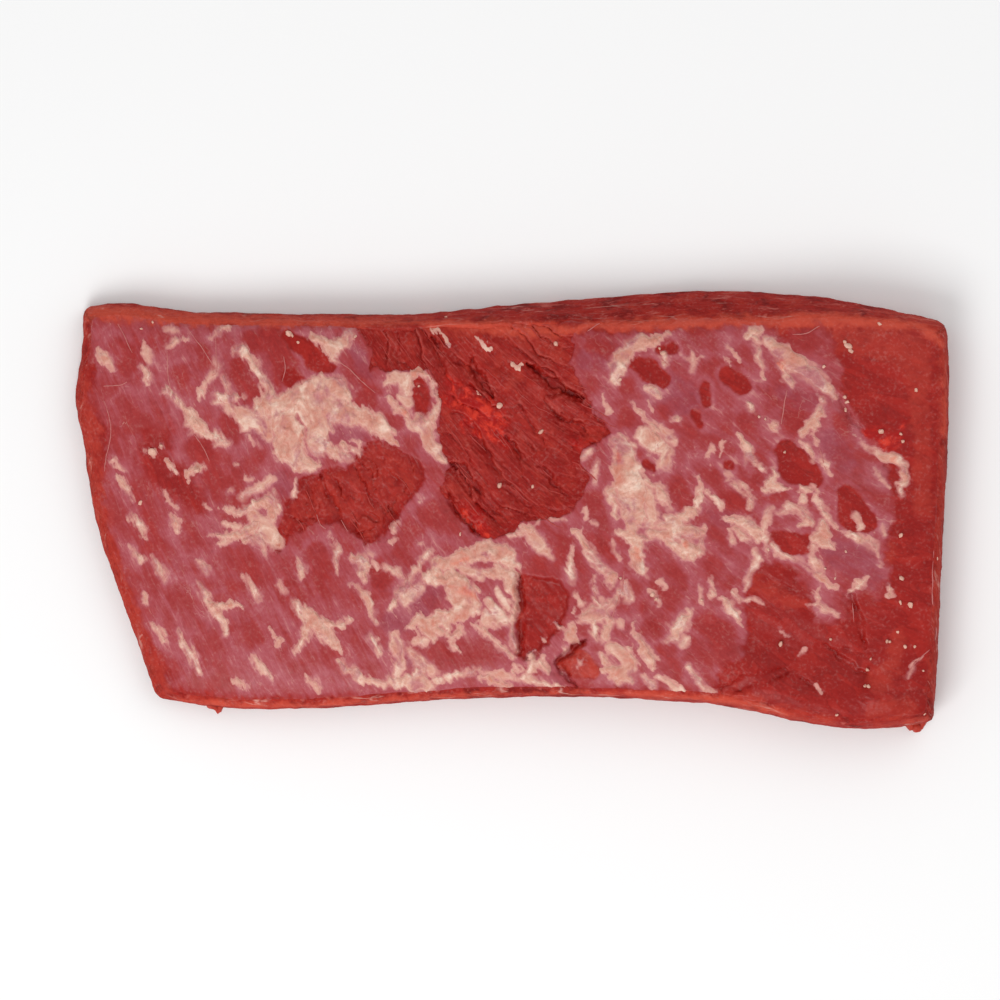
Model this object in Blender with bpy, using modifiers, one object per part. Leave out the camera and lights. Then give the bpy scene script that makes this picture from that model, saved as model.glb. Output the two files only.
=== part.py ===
"""A trimmed raw beef brisket, one solid piece of meat lying on its flat underside.

+X runs along the muscle from the thin end to the thick end, +Y to the far side and +Z up.
The origin is under the middle of the piece, on the surface that it rests on.
Lengths are in millimetres until the points of the cage are placed.
"""
import bmesh
import bpy
import numpy as np

MM = 0.001

# The outline seen from above: where each side reaches furthest out.
FAR_SIDE = ((-176.5, 84), (-163, 85.5), (-134, 82), (-98, 81.2), (-38, 80.8), (0, 84.6), (45, 88.3),
            (75, 90.6), (105, 89.8), (137, 86.3), (158, 82), (179, 77.5))
NEAR_SIDE = ((-146, -77), (-120, -81), (-88, -81.5), (-20, -77.2), (40, -76.2), (70, -78.2),
             (88, -79.8), (112, -85.5), (146, -89.6), (173.5, -86.5))
THIN_END = ((-146, -77), (-157, -45), (-171.5, -2), (-175.2, 24), (-179.7, 51), (-176.5, 66),
            (-176.5, 84))
THICK_END = ((173.5, -86.5), (175.2, -58), (177, -15), (179.7, 42), (179, 77.5))

OUTLINE_MIDDLE = (0.2, 0.5)       # middle of that outline, which is put over the origin

# How far the upper edge stands back from the outline, along each side.
FAR_SETBACK = ((-176.5, 5), (-60, 4.5), (-30, 5), (0, 8), (30, 11), (62, 14.5), (98, 13.5),
               (138, 7), (158, 4), (179, 4))
NEAR_SETBACK = ((-146, 6), (-60, 5), (60, 3.5), (100, 6), (173.5, 4))
END_SETBACK = 3.5
UNDERSIDE_SETBACK = 4.0
FAR_UNDERSIDE_SETBACK = 0.5
SMOOTHING_LOSS = 1.0              # what the soft form takes off each side, added beforehand

# Thickness along the length, from the thin end to the thick end.
THICKNESS = ((-178, 19), (-130, 23), (-60, 27.5), (0, 30.5), (70, 34), (130, 35), (178, 32))
EDGE_FALL = 4.5                   # how far the upper face drops at its rim
EDGE_FALL_POWER = 9

# Swellings and hollows of the upper face:
# x, y, reach along, reach across, turn in degrees, rise.
RELIEF = (
    (124, -58, 36, 20, -12, -4.5),    # bare hollow near the thick end
    (150, -85, 26, 7, 0, 2.0),        # lip beside that hollow
    (12, -44, 18, 8, -85, -3.0),      # shelf beside the fat seam
    (-3, -42, 18, 5, -85, 1.5),       # edge of the fat seam
    (-18, -34, 12, 9, 0, 1.2),        # fat seam
    (6, 36, 42, 20, -52, -2.0),       # trough where the muscle is torn
    (-14, 54, 12, 4, -60, -2.4),      # grooves in the trough
    (18, 52, 15, 4, -35, -2.6),
    (24, 35, 12, 4, -38, -2.2),
    (-14, 9, 17, 4, -53, -2.4),
    (-20, -3, 10, 4, -55, -2.0),
    (-4, 22, 20, 4, -52, 1.2),        # ridges between the grooves
    (10, 44, 16, 4, -38, 1.2),
    (-64, 5, 24, 18, -60, -1.6),      # shallow torn patch
    (50, 6, 36, 12, -84, 1.6),        # fat ridge beside the trough
    (-90, 34, 26, 18, -20, 1.4),      # thick fat
    (140, -2, 18, 11, -70, 1.4),      # plump muscle
    (-150, 60, 26, 24, 0, 1.5),       # corner of the thin end
    (-146, -66, 26, 20, 0, -2.5),     # near corner of the thin end
    (26, -64, 9, 7, 0, -2.4),         # knife notch
    (141, -44, 16, 4, -75, -1.8),     # grooves where the silverskin stops
    (140, 36, 14, 4, -50, -1.5),
)

# Bundles of muscle fibre run down to the right, steeper towards the thin end.
FIBRE_SLOPE = 1.36
FIBRE_TURN = 0.0052
BUNDLE_WIDTH = 34.0
BUNDLE_RISE = 0.35

CELLS_LONG = 36
CELLS_ACROSS = 18
EDGE_TIGHTNESS = 0.45             # draws the rows of the cage towards the edges
ROW_HEIGHTS = (0.0, 0.18, 0.52, 0.84, 1.0)   # as parts of the thickness
ROW_SETBACKS = (1.0, 0.15, 0.10, 0.42, 1.0)  # as parts of the full set-back
FAR_ROW_SETBACKS = (1.0, 0.0, 0.30, 0.74, 1.0)    # the far side slopes back from its foot
CELLS_HIGH = len(ROW_HEIGHTS) - 1

MUSCLE_RED = (0.30, 0.035, 0.032, 1.0)
MUSCLE_ROUGHNESS = 0.42


def clear_scene():
    for thing in list(bpy.data.objects):
        bpy.data.objects.remove(thing)


def smooth_curve(knots, place):
    """Value at a place along knots of (place, value), with no kink at a knot."""
    places = np.array([knot[0] for knot in knots], dtype=float)
    values = np.array([knot[1] for knot in knots], dtype=float)
    slopes = np.gradient(values, places)
    place = min(max(place, places[0]), places[-1])
    index = min(int(np.searchsorted(places, place, side="right")) - 1, len(knots) - 2)
    gap = places[index + 1] - places[index]
    part = (place - places[index]) / gap
    square = part * part
    cube = square * part
    return ((2 * cube - 3 * square + 1) * values[index]
            + (cube - 2 * square + part) * gap * slopes[index]
            + (3 * square - 2 * cube) * values[index + 1]
            + (cube - square) * gap * slopes[index + 1])


def drawn_to_edges(part):
    """An even step along a side, moved towards the nearer end of that side."""
    return part - EDGE_TIGHTNESS * np.sin(2 * np.pi * part) / (2 * np.pi)


def long_side(knots, inward, part):
    """Point on the far or near side, a part of the way from the thin to the thick end."""
    x = knots[0][0] + part * (knots[-1][0] - knots[0][0])
    return np.array((x, smooth_curve(knots, x) + inward))


def short_side(knots, inward, part):
    """Point on one end, a part of the way from the near to the far side."""
    turned = tuple((y, x) for x, y in knots)
    y = turned[0][0] + part * (turned[-1][0] - turned[0][0])
    return np.array((smooth_curve(turned, y) + inward, y))


def setbacks(row, along):
    """How far a row of the cage stands back from the far side, near side and ends."""
    if row == 0:
        return FAR_UNDERSIDE_SETBACK, UNDERSIDE_SETBACK, UNDERSIDE_SETBACK
    share = ROW_SETBACKS[row]
    x = THIN_END[-1][0] + along * (THICK_END[-1][0] - THIN_END[-1][0])
    far = FAR_ROW_SETBACKS[row] * smooth_curve(FAR_SETBACK, x)
    near = share * smooth_curve(NEAR_SETBACK, x)
    return far, near, share * END_SETBACK


def plan_point(along, across, row):
    """Place in plan of a cage point: a patch stretched between the four sides of its row."""
    far_back, near_back, end_back = setbacks(row, along)
    near_inward = near_back - SMOOTHING_LOSS
    far_inward = SMOOTHING_LOSS - far_back
    thin_inward = end_back - SMOOTHING_LOSS
    thick_inward = SMOOTHING_LOSS - end_back
    between_long_sides = ((1 - across) * long_side(NEAR_SIDE, near_inward, along)
                          + across * long_side(FAR_SIDE, far_inward, along))
    between_ends = ((1 - along) * short_side(THIN_END, thin_inward, across)
                    + along * short_side(THICK_END, thick_inward, across))
    thin_corners = ((1 - across) * long_side(NEAR_SIDE, 0.0, 0.0)
                    + across * long_side(FAR_SIDE, 0.0, 0.0))
    thick_corners = ((1 - across) * long_side(NEAR_SIDE, 0.0, 1.0)
                     + across * long_side(FAR_SIDE, 0.0, 1.0))
    between_corners = (1 - along) * thin_corners + along * thick_corners
    return between_long_sides + between_ends - between_corners


def relief_height(x, y):
    """Rise or fall of the upper face from its named swellings and its fibre bundles."""
    height = 0.0
    for centre_x, centre_y, reach_along, reach_across, turn, rise in RELIEF:
        cosine = np.cos(np.radians(turn))
        sine = np.sin(np.radians(turn))
        lengthwise = ((x - centre_x) * cosine + (y - centre_y) * sine) / reach_along
        sideways = ((y - centre_y) * cosine - (x - centre_x) * sine) / reach_across
        height += rise * np.exp(-lengthwise * lengthwise - sideways * sideways)
    across_fibres = y + FIBRE_SLOPE * x - 0.5 * FIBRE_TURN * x * x
    return height + BUNDLE_RISE * np.sin(2 * np.pi * across_fibres / BUNDLE_WIDTH)


def top_height(x, y, along, across):
    """Height of the upper face above the surface that the piece rests on."""
    rim = max(abs(2 * along - 1), abs(2 * across - 1))
    return smooth_curve(THICKNESS, x) + relief_height(x, y) - EDGE_FALL * rim ** EDGE_FALL_POWER


def split_edges_along(cage, axis, cells):
    """Cut every edge of the block that runs along one axis into equal cells."""
    edges = []
    for edge in cage.edges:
        step = edge.verts[1].co - edge.verts[0].co
        if abs(step[axis]) > 0.5 * step.length:
            edges.append(edge)
    bmesh.ops.subdivide_edges(cage, edges=edges, cuts=cells - 1, use_grid_fill=True)


def shape_cage(cage):
    """Move the points of the unit block to their places on the piece."""
    for vert in cage.verts:
        along = drawn_to_edges(vert.co.x + 0.5)
        across = drawn_to_edges(vert.co.y + 0.5)
        row = round((vert.co.z + 0.5) * CELLS_HIGH)
        x, y = plan_point(along, across, row)
        height = ROW_HEIGHTS[row] * top_height(x, y, along, across)
        vert.co = ((x - OUTLINE_MIDDLE[0]) * MM, (y - OUTLINE_MIDDLE[1]) * MM, height * MM)


def muscle_material():
    material = bpy.data.materials.new("raw_beef")
    material.use_nodes = True
    surface = material.node_tree.nodes["Principled BSDF"]
    surface.inputs["Base Color"].default_value = MUSCLE_RED
    surface.inputs["Roughness"].default_value = MUSCLE_ROUGHNESS
    surface.inputs["Metallic"].default_value = 0.0
    return material


def make_brisket(collection):
    cage = bmesh.new()
    bmesh.ops.create_cube(cage, size=1.0)
    for axis, cells in enumerate((CELLS_LONG, CELLS_ACROSS, CELLS_HIGH)):
        split_edges_along(cage, axis, cells)
    shape_cage(cage)
    bmesh.ops.recalc_face_normals(cage, faces=cage.faces)
    mesh = bpy.data.meshes.new("brisket")
    cage.to_mesh(mesh)
    cage.free()
    mesh.shade_smooth()
    mesh.materials.append(muscle_material())
    brisket = bpy.data.objects.new("brisket", mesh)
    collection.objects.link(brisket)
    soft_form = brisket.modifiers.new("soft_form", "SUBSURF")
    soft_form.levels = 1
    soft_form.render_levels = 1


def main():
    clear_scene()
    collection = bpy.data.collections.new("raw_beef_brisket")
    bpy.context.scene.collection.children.link(collection)
    make_brisket(collection)


main()
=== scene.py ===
import itertools
import math

import bmesh
import bpy
import numpy as np
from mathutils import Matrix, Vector
from mathutils.bvhtree import BVHTree


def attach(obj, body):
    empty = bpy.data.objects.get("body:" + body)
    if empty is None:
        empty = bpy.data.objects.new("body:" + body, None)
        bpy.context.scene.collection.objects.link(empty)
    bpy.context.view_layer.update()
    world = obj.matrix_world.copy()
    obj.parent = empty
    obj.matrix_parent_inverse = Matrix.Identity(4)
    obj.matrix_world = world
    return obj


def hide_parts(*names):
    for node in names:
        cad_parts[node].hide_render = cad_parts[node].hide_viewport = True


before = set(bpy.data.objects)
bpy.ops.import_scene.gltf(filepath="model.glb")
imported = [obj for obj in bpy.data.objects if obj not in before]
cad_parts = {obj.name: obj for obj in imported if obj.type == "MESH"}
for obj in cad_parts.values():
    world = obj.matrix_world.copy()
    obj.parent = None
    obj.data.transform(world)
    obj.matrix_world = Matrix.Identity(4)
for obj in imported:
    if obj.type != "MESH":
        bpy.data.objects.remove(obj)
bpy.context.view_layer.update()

# Everything below is a raw brisket seen from above: +X to its thick end, +Y to its far side.
# Places and sizes are in millimetres, and become metres only in a mesh, a light or the camera.
MM = 0.001
BODY = "root"
BRISKET = "brisket"


# ---------------------------------------------------------------- colours

def paint(red, green, blue):
    """A screen colour of 0 to 255 as the linear colour that a shader takes."""
    linear = []
    for part in (red / 255, green / 255, blue / 255):
        linear.append(part / 12.92 if part <= 0.04045 else ((part + 0.055) / 1.055) ** 2.4)
    return (*linear, 1.0)


LEAN_RED = paint(162, 32, 25)
LEAN_DARK = paint(142, 18, 14)
LEAN_BRIGHT = paint(178, 52, 38)
# Painted shade, for the creases and hollows of the muscle.
LEAN_CREVICE = paint(112, 7, 6)
EDGE_ORANGE = paint(182, 58, 44)
# A painted highlight along the very top of the cut edges.
EDGE_GLOW = paint(206, 78, 58)
FLANK_RED = paint(158, 34, 28)
# Dark mottling of the flanks, also used as painted shade in their creases.
FLANK_DARK = paint(112, 8, 7)
VEIL_ROSE = paint(160, 56, 58)
VEIL_MAUVE = paint(168, 76, 84)
VEIL_PALE = paint(180, 100, 108)
VEIL_PLUM = paint(150, 68, 82)
FILM_MAUVE = paint(186, 122, 130)
FILM_PINK = paint(206, 140, 130)
TISSUE_WHITE = paint(216, 162, 150)
BLOOD_RED = paint(164, 12, 9)
# A painted highlight on thick blood.
BLOOD_ORANGE = paint(224, 62, 42)
FAT_CREAM = paint(218, 168, 149)
FAT_PINK = paint(201, 132, 116)
# A painted highlight on the lumps of the fat and just inside its edge.
FAT_LIGHT = paint(238, 208, 190)
# Painted shade in the folds and low places of the fat.
FAT_CREASE = paint(204, 118, 96)
FAT_STAIN = paint(218, 92, 62)
STRAND_RED = paint(174, 58, 52)
STRAND_PINK = paint(184, 82, 74)
THREAD_WHITE = paint(192, 112, 108)
FLOOR_WHITE = paint(246, 246, 246)
# Shades that only screen or multiply a colour, so they are linear already: a painted sheen, a painted glint
# and the dark of the pores.
SPECK_PALE = (1.0, 0.72, 0.66, 1.0)
SPECK_GLINT = (1.0, 0.8, 0.76, 1.0)
SPECK_DARK = (0.62, 0.5, 0.5, 1.0)


# ---------------------------------------------------------------- where things lie

# Edge of the silverskin on the upper face; outside it the muscle is bare.
SILVERSKIN = (
    (-174, 77), (-160, 78.5), (-140, 76), (-118, 75), (-98, 75.5), (-80, 74.5), (-50, 79), (-20, 76),
    (24, 72), (45, 72.5), (62, 73), (85, 74), (101, 74.5), (112, 71), (126, 76), (131, 70), (134, 58),
    (135, 48), (140, 40), (145, 30), (151, 24), (155, 12), (156, 2), (154, -8), (153, -20), (155, -30),
    (151, -37), (144, -33), (139, -37), (137, -45), (130, -47), (124, -43), (121, -33), (114, -23),
    (104, -21), (97, -27), (95, -38), (96, -48), (94, -60), (85, -66), (82, -75), (60, -74),
    (35, -73.5), (0, -75), (-30, -76), (-88, -77), (-124, -76), (-140, -71), (-152, -45), (-160, -24),
    (-163, -14), (-167, 0), (-167.5, 15), (-166, 29), (-168, 36), (-172, 42), (-174, 47), (-171, 51),
    (-172, 60), (-175, 67),
)
# Muscle laid open where the layer above was pulled off.
TORN = (
    (-66, 92), (-64, 75), (-59, 68), (-57, 63), (-58, 58), (-50, 56.5), (-42, 57.5), (-34, 56.5),
    (-30, 50), (-29, 43), (-30, 36), (-30, 30), (-26, 21), (-25, 17), (-28, 12), (-28.5, 7), (-25, 2),
    (-21, -4), (-17, -9), (-11, -12), (-5, -11), (0, -9.5), (5, -6), (12, -3.5), (20, -3.5), (25, 1),
    (30, 6), (31.5, 14), (28, 20), (30, 25), (36, 28), (40, 31), (36, 37), (31, 44), (29, 50), (26, 56),
    (23, 60), (25, 66), (24, 73), (26, 92),
)
# A shallow patch of rough muscle beside the thick fat.
ROUGH = (
    (-86, 14), (-80, 14), (-76, 18), (-68, 18), (-63, 25), (-55, 29), (-46, 26), (-38, 20), (-35, 12),
    (-38, 7), (-44, 2), (-46, -3), (-50, -8), (-54, -12), (-60, -15), (-66, -9), (-72, -5), (-80, -6),
    (-90, -10), (-96, -19), (-99, -14), (-94, -2), (-90, 6),
)
# The lower shelf beside the fat seam, where bare muscle shows.
SHELF = ((2, -26), (8, -27), (20, -29), (24, -36), (21, -48), (12, -58), (6, -62), (2, -58))

# Strokes are lists of (x, y, half width): tapered marks, laid as on the real piece.
BARE_SPOTS = (
    ((50, 60, 2.5), (56, 57, 4.8), (62, 53, 3.2)), ((-38, 52, 2.6), (-37.5, 46, 3.7), (-37, 41, 3)),
    ((88, 55, 3.5), (94, 51, 4)), ((79, 51, 1.8), (79.5, 44, 2)), ((75, 39, 2.2), (77, 35, 1.5)),
    ((108, -12, 3.5), (115, -14, 5), (120, -14, 4)), ((137, 6, 4), (140, -2, 7), (145, -5, 4.5)),
    ((112, 24, 4.5), (116, 18, 7.5), (123, 13, 4.5)), ((88, 18, 2.2), (89, 18, 2.2)),
    ((55, 19, 1.8), (58, 17, 1.4)), ((60, 65, 1.5), (66, 66, 2.4)),
    ((-84, 66, 3.5), (-79, 62, 6), (-75, 59, 3)), ((-91, 55, 3.5), (-87, 51, 4)),
    ((-92, 71, 2.5), (-86, 67, 4)), ((21, -63, 3), (27, -63, 6), (33, -66, 3.5)),
    ((26, -56.5, 2), (29, -55, 1.5)), ((90, -72, 5), (100, -66, 8)),
)
# Where the silverskin wears away softly down to the muscle.
WORN_SKIN = (((-151, 30, 3), (-147, 20, 7), (-137, 11, 7.5), (-127, 3, 4)), ((-141, 34, 2), (-143, 26, 4)))
# Where the silverskin is thin and the muscle shows through.
THIN_SKIN = (
    ((-148, 32, 4), (-146, 20, 6), (-138, 8, 6), (-128, 1, 4)), ((-152, 10, 3), (-150, -8, 3)),
    ((-150, -8, 3), (-146, -22, 5)), ((-126, 12, 6), (-115, 3, 5)), ((-100, 68, 7), (-96, 56, 8)),
    ((-112, 56, 6), (-108, 48, 4)), ((-118, 40, 5), (-114, 30, 4)), ((-62, 50, 5), (-56, 42, 3)),
    ((-36, -56, 6), (-22, -60, 8), (-8, -58, 6)), ((4, -44, 4), (14, -42, 9), (26, -36, 6)),
    ((16, -24, 7), (22, -16, 6)), ((34, -10, 5), (40, -16, 5)), ((88, 2, 6), (95, 3, 5)),
    ((68, 5, 4), (72, 3, 3)), ((108, -30, 6), (118, -34, 5)), ((118, 70, 6), (112, 72, 3)),
    ((128, 52, 5), (134, 62, 4)), ((112, 42, 5), (118, 38, 6)), ((60, -46, 5), (56, -40, 4)),
    ((82, -50, 6), (76, -60, 5)), ((-152, 66, 5), (-148, 56, 4)), ((-132, 38, 4), (-126, 24, 5)),
    ((-100, -24, 8), (-80, -26, 6)), ((44, 62, 1), (38, 68, 5)), ((-54, -26, 5), (-44, -20, 5)),
)
# Small clear places in the silverskin, each with a pale rim.
WINDOWS = (
    ((-110, 57, 4.5), (-106, 46, 5)), ((-108, 69, 2.5), (-98, 70, 4.5), (-93, 62, 5), (-92, 55, 4)),
    ((-116, 37, 4), (-114, 29, 3.5)), ((-126, 66, 2.5), (-124, 60, 3)),
    ((-122, 12, 4.5), (-112, 4, 4.5)), ((-106, 22, 4), (-110, 15, 3.5)),
    ((-136, 56, 3.5), (-133, 48, 3)), ((-158, 44, 4), (-154, 36, 5)), ((-162, 68, 3), (-158, 60, 3.5)),
    ((-132, 26, 3), (-124, 20, 4)), ((-80, -18, 4), (-78, -24, 4)), ((-134, -8, 4), (-128, -14, 5)),
    ((-30, -6, 4), (-34, 0, 4)), ((-56, -24, 3), (-52, -28, 3)), ((-26, 0, 3), (-24, -8, 3)),
    ((-48, 36, 3), (-52, 38, 2.5)), ((-60, 44, 4), (-56, 48, 3)), ((47, 50, 3), (50, 46, 2.5)),
    ((34, 67, 3), (38, 65, 3)), ((108, 34, 3), (113, 37, 4), (118, 36, 4)),
    ((116, 45, 3), (124, 44, 2.5)), ((135, 36, 3.5), (137, 28, 3)), ((133, 14, 3), (135, 8, 3)),
    ((97, 33, 4), (97, 41, 3)), ((60, 40, 3.5), (66, 43, 2.5)), ((47, 38, 3), (53, 35, 3)),
    ((82, 27, 4), (87, 23, 3)), ((76, 17, 3), (78, 12, 2.5)), ((67, 9, 4), (71, 3, 3.5)),
    ((83, 12, 3.5), (91, 5, 4), (95, 0, 3)), ((99, 22, 2.5), (104, 15, 3.5), (101, 12, 2)),
    ((110, 5, 3), (114, -2, 2.5)), ((102, -5, 3), (108, -8, 3.5)), ((33, 4, 3.5), (36, -4, 4)),
    ((33, -12, 3.5), (40, -20, 3)), ((56, -16, 2.5), (62, -22, 4.5), (68, -28, 4)),
    ((60, -32, 4), (66, -38, 4)), ((48, -32, 3), (46, -40, 3)), ((80, -20, 3.5), (86, -28, 4)),
    ((78, -46, 4), (86, -50, 5.5), (88, -60, 4)), ((62, -60, 4), (66, -66, 4)),
    ((56, -50, 3.5), (60, -46, 3.5)), ((92, 58, 2), (84, 60, 2)), ((62, 66, 1.5), (64, 68, 1.5)),
    ((-150, -60, 5), (-142, -66, 5)), ((-118, -40, 5), (-108, -52, 5)), ((-92, -34, 4), (-84, -46, 5)),
    ((-74, -58, 5), (-66, -66, 4)), ((-138, -34, 4), (-130, -44, 5)),
)
# Darker, purple places in the silverskin.
PLUM_SPOTS = (
    ((-75, 31, 3), (-66, 31, 4.5), (-58, 30, 2)), ((-64, 66, 3), (-60, 58, 5)),
    ((-106, 34, 5), (-100, 30, 4)), ((-48, -46, 6), (-38, -38, 8), (-32, -34, 5)),
    ((132, -16, 6), (142, -22, 9), (148, -28, 5)), ((52, -2, 5), (57, -4, 6)),
    ((-18, -24, 3.5), (-16, -26, 3)), ((112, 48, 5), (122, 44, 5)), ((84, 0, 4), (86, -4, 5)),
    ((-95, 12, 5), (-92, 8, 4)), ((30, 62, 5), (38, 60, 4)), ((-46, -60, 3), (-42, -62, 4)),
    ((-6, 65, 4), (-3, 62, 3)), ((130, 28, 6), (136, 20, 6)), ((60, 50, 8), (70, 46, 8)),
)
# Fresh blood that lies on the muscle and on the fat.
FRESH_BLOOD = (
    ((-27, 44, 2), (-18, 44, 6), (-12, 41, 6), (-6, 34, 6), (-3, 27, 3)), ((-18, 36, 4), (-12, 33, 4)),
    ((-21, 1, 2), (-15, -3, 5), (-11, -9, 3)), ((-24, 52, 3), (-26, 46, 3)),
    ((144, 33, 2.5), (149, 29, 4.5), (155, 27, 4.5), (159, 34, 2)),
    ((-124.5, 36, 0.8), (-122.5, 35.5, 1.4)), ((25, 28, 2), (31, 26, 2.5)),
)
# Brighter, orange muscle.
BRIGHT_MUSCLE = (
    ((-2, 51, 3), (2, 54, 4)), ((2, 70, 4), (14, 66, 5), (24, 60, 3)), ((30, 27, 3), (33, 30, 3)),
    ((-26, 74, 3), (-16, 72, 4)), ((-24, 10, 3), (-19, 3, 4)),
    ((86, -76, 3), (96, -79, 5), (105, -82, 3)), ((22, -62, 3), (27, -61, 6), (33, -67, 4)),
    ((24, -58, 3), (30, -60, 5)), ((96, -28, 3), (108, -34, 4), (118, -39, 3)),
    ((18, -62, 3), (19, -68, 3)), ((158, -52, 4), (157, -62, 4), (150, -70, 6)),
    ((20, 50, 2), (27, 53, 3)), ((148, -82, 4), (160, -82, 6)),
    ((-34, 48, 1), (-29, 44, 2.5), (-26, 38, 2)), ((153, -12, 3), (154, -20, 3)),
    ((130, -30, 2), (131, -30, 2)), ((118, 70, 5), (140, 70, 7), (164, 64, 8)),
    ((166, 58, 6), (168, 30, 5), (168, 0, 4)),
)
# Redder and brighter muscle along the cut edges of the upper face: partly the cut muscle's own colour,
# partly painted light on the rim.
RIM_MUSCLE = (
    ((-178, 84, 3.5), (-180, 66, 3), (-178, 50, 4), (-175, 36, 5.5), (-173, 10, 6), (-169, -12, 7),
     (-162, -36, 7.5), (-152, -62, 7.5), (-146, -76, 6)),
    ((-178, 84, 4.5), (-150, 82, 4.5), (-100, 80.5, 4), (-60, 80.5, 3.5), (-36, 81, 2.5)),
    ((-146, -79, 3.5), (-100, -82, 3.5), (-20, -78.5, 2.8), (60, -77.5, 2.8), (84, -79.5, 3.5)),
    ((88, -79, 3), (104, -83, 4), (130, -88, 3)), ((152, -90, 3), (172, -87, 3)),
    ((104, 75, 2.5), (125, 77, 4.5), (150, 77.5, 5), (172, 76, 4.5), (178, 68, 3)),
    ((178, 70, 3.4), (178, 30, 2.8), (177, 0, 2.8), (175.5, -35, 2.8), (174.5, -80, 3.2)),
    ((20, -66, 1), (26, -65, 3.5), (31, -65, 4)), ((1.6, -28, 0.4), (2.2, -42, 0.8), (2, -58, 0.4)),
)
# A painted highlight: the brightest line, along the very top of the cut edges.
BRIGHT_CREST = (
    ((-177, 81, 3), (-150, 80, 4), (-100, 78.6, 3.8), (-60, 78.5, 3.2), (-40, 79, 2.2)),
    ((-38, 77, 1.5), (-20, 75.5, 2.5), (0, 74, 3.2), (14, 73.5, 2.8), (30, 74.5, 1.6)),
    ((31, 75.5, 1.6), (45, 75.6, 2.2), (62, 76, 2.4), (95, 77, 2.4), (130, 78, 2.6), (150, 77, 2.4),
     (168, 75, 1.8), (176, 68, 1)), ((0.5, -27, 0.7), (0.9, -40, 0.9), (0.4, -57, 0.7)),
    ((-178, 80, 1.4), (-181, 52, 1.2)), ((-176, 22, 1), (-172, -8, 1.3), (-166, -30, 1.4)),
    ((-140, -80, 1.6), (-100, -82, 1.8), (-60, -80, 1.5), (-20, -78, 2.2), (60, -77.5, 2.2),
     (90, -80, 2.8), (112, -85, 2.2)), ((160, -89.5, 1.5), (172, -88, 1.5)),
    ((178, 60, 0.8), (178, 30, 0.8)),
)
# Orange stains on the fat.
FAT_STAINS = (
    ((106.5, 60.5, 1.8), (110, 58.5, 1.8)), ((-45, 38, 1), (-42, 42, 1.3)),
    ((50.5, -16, 0.8), (52, -20, 1)), ((55.5, 44, 0.8), (57.5, 41, 0.9)),
    ((-139, 66.5, 0.5), (-136, 66.8, 0.6)), ((72, -12, 0.6), (71, -15, 0.8)),
    ((44, 20, 0.9), (43, 23, 0.7)), ((-20, -33, 1.5), (-14, -36, 1.2)),
    ((-24, -22, 0.9), (-18, -20, 0.9)), ((156, 21, 0.8), (158, 16, 0.8)),
    ((116, 49, 0.6), (113, 49.5, 0.7)),
)
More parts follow.
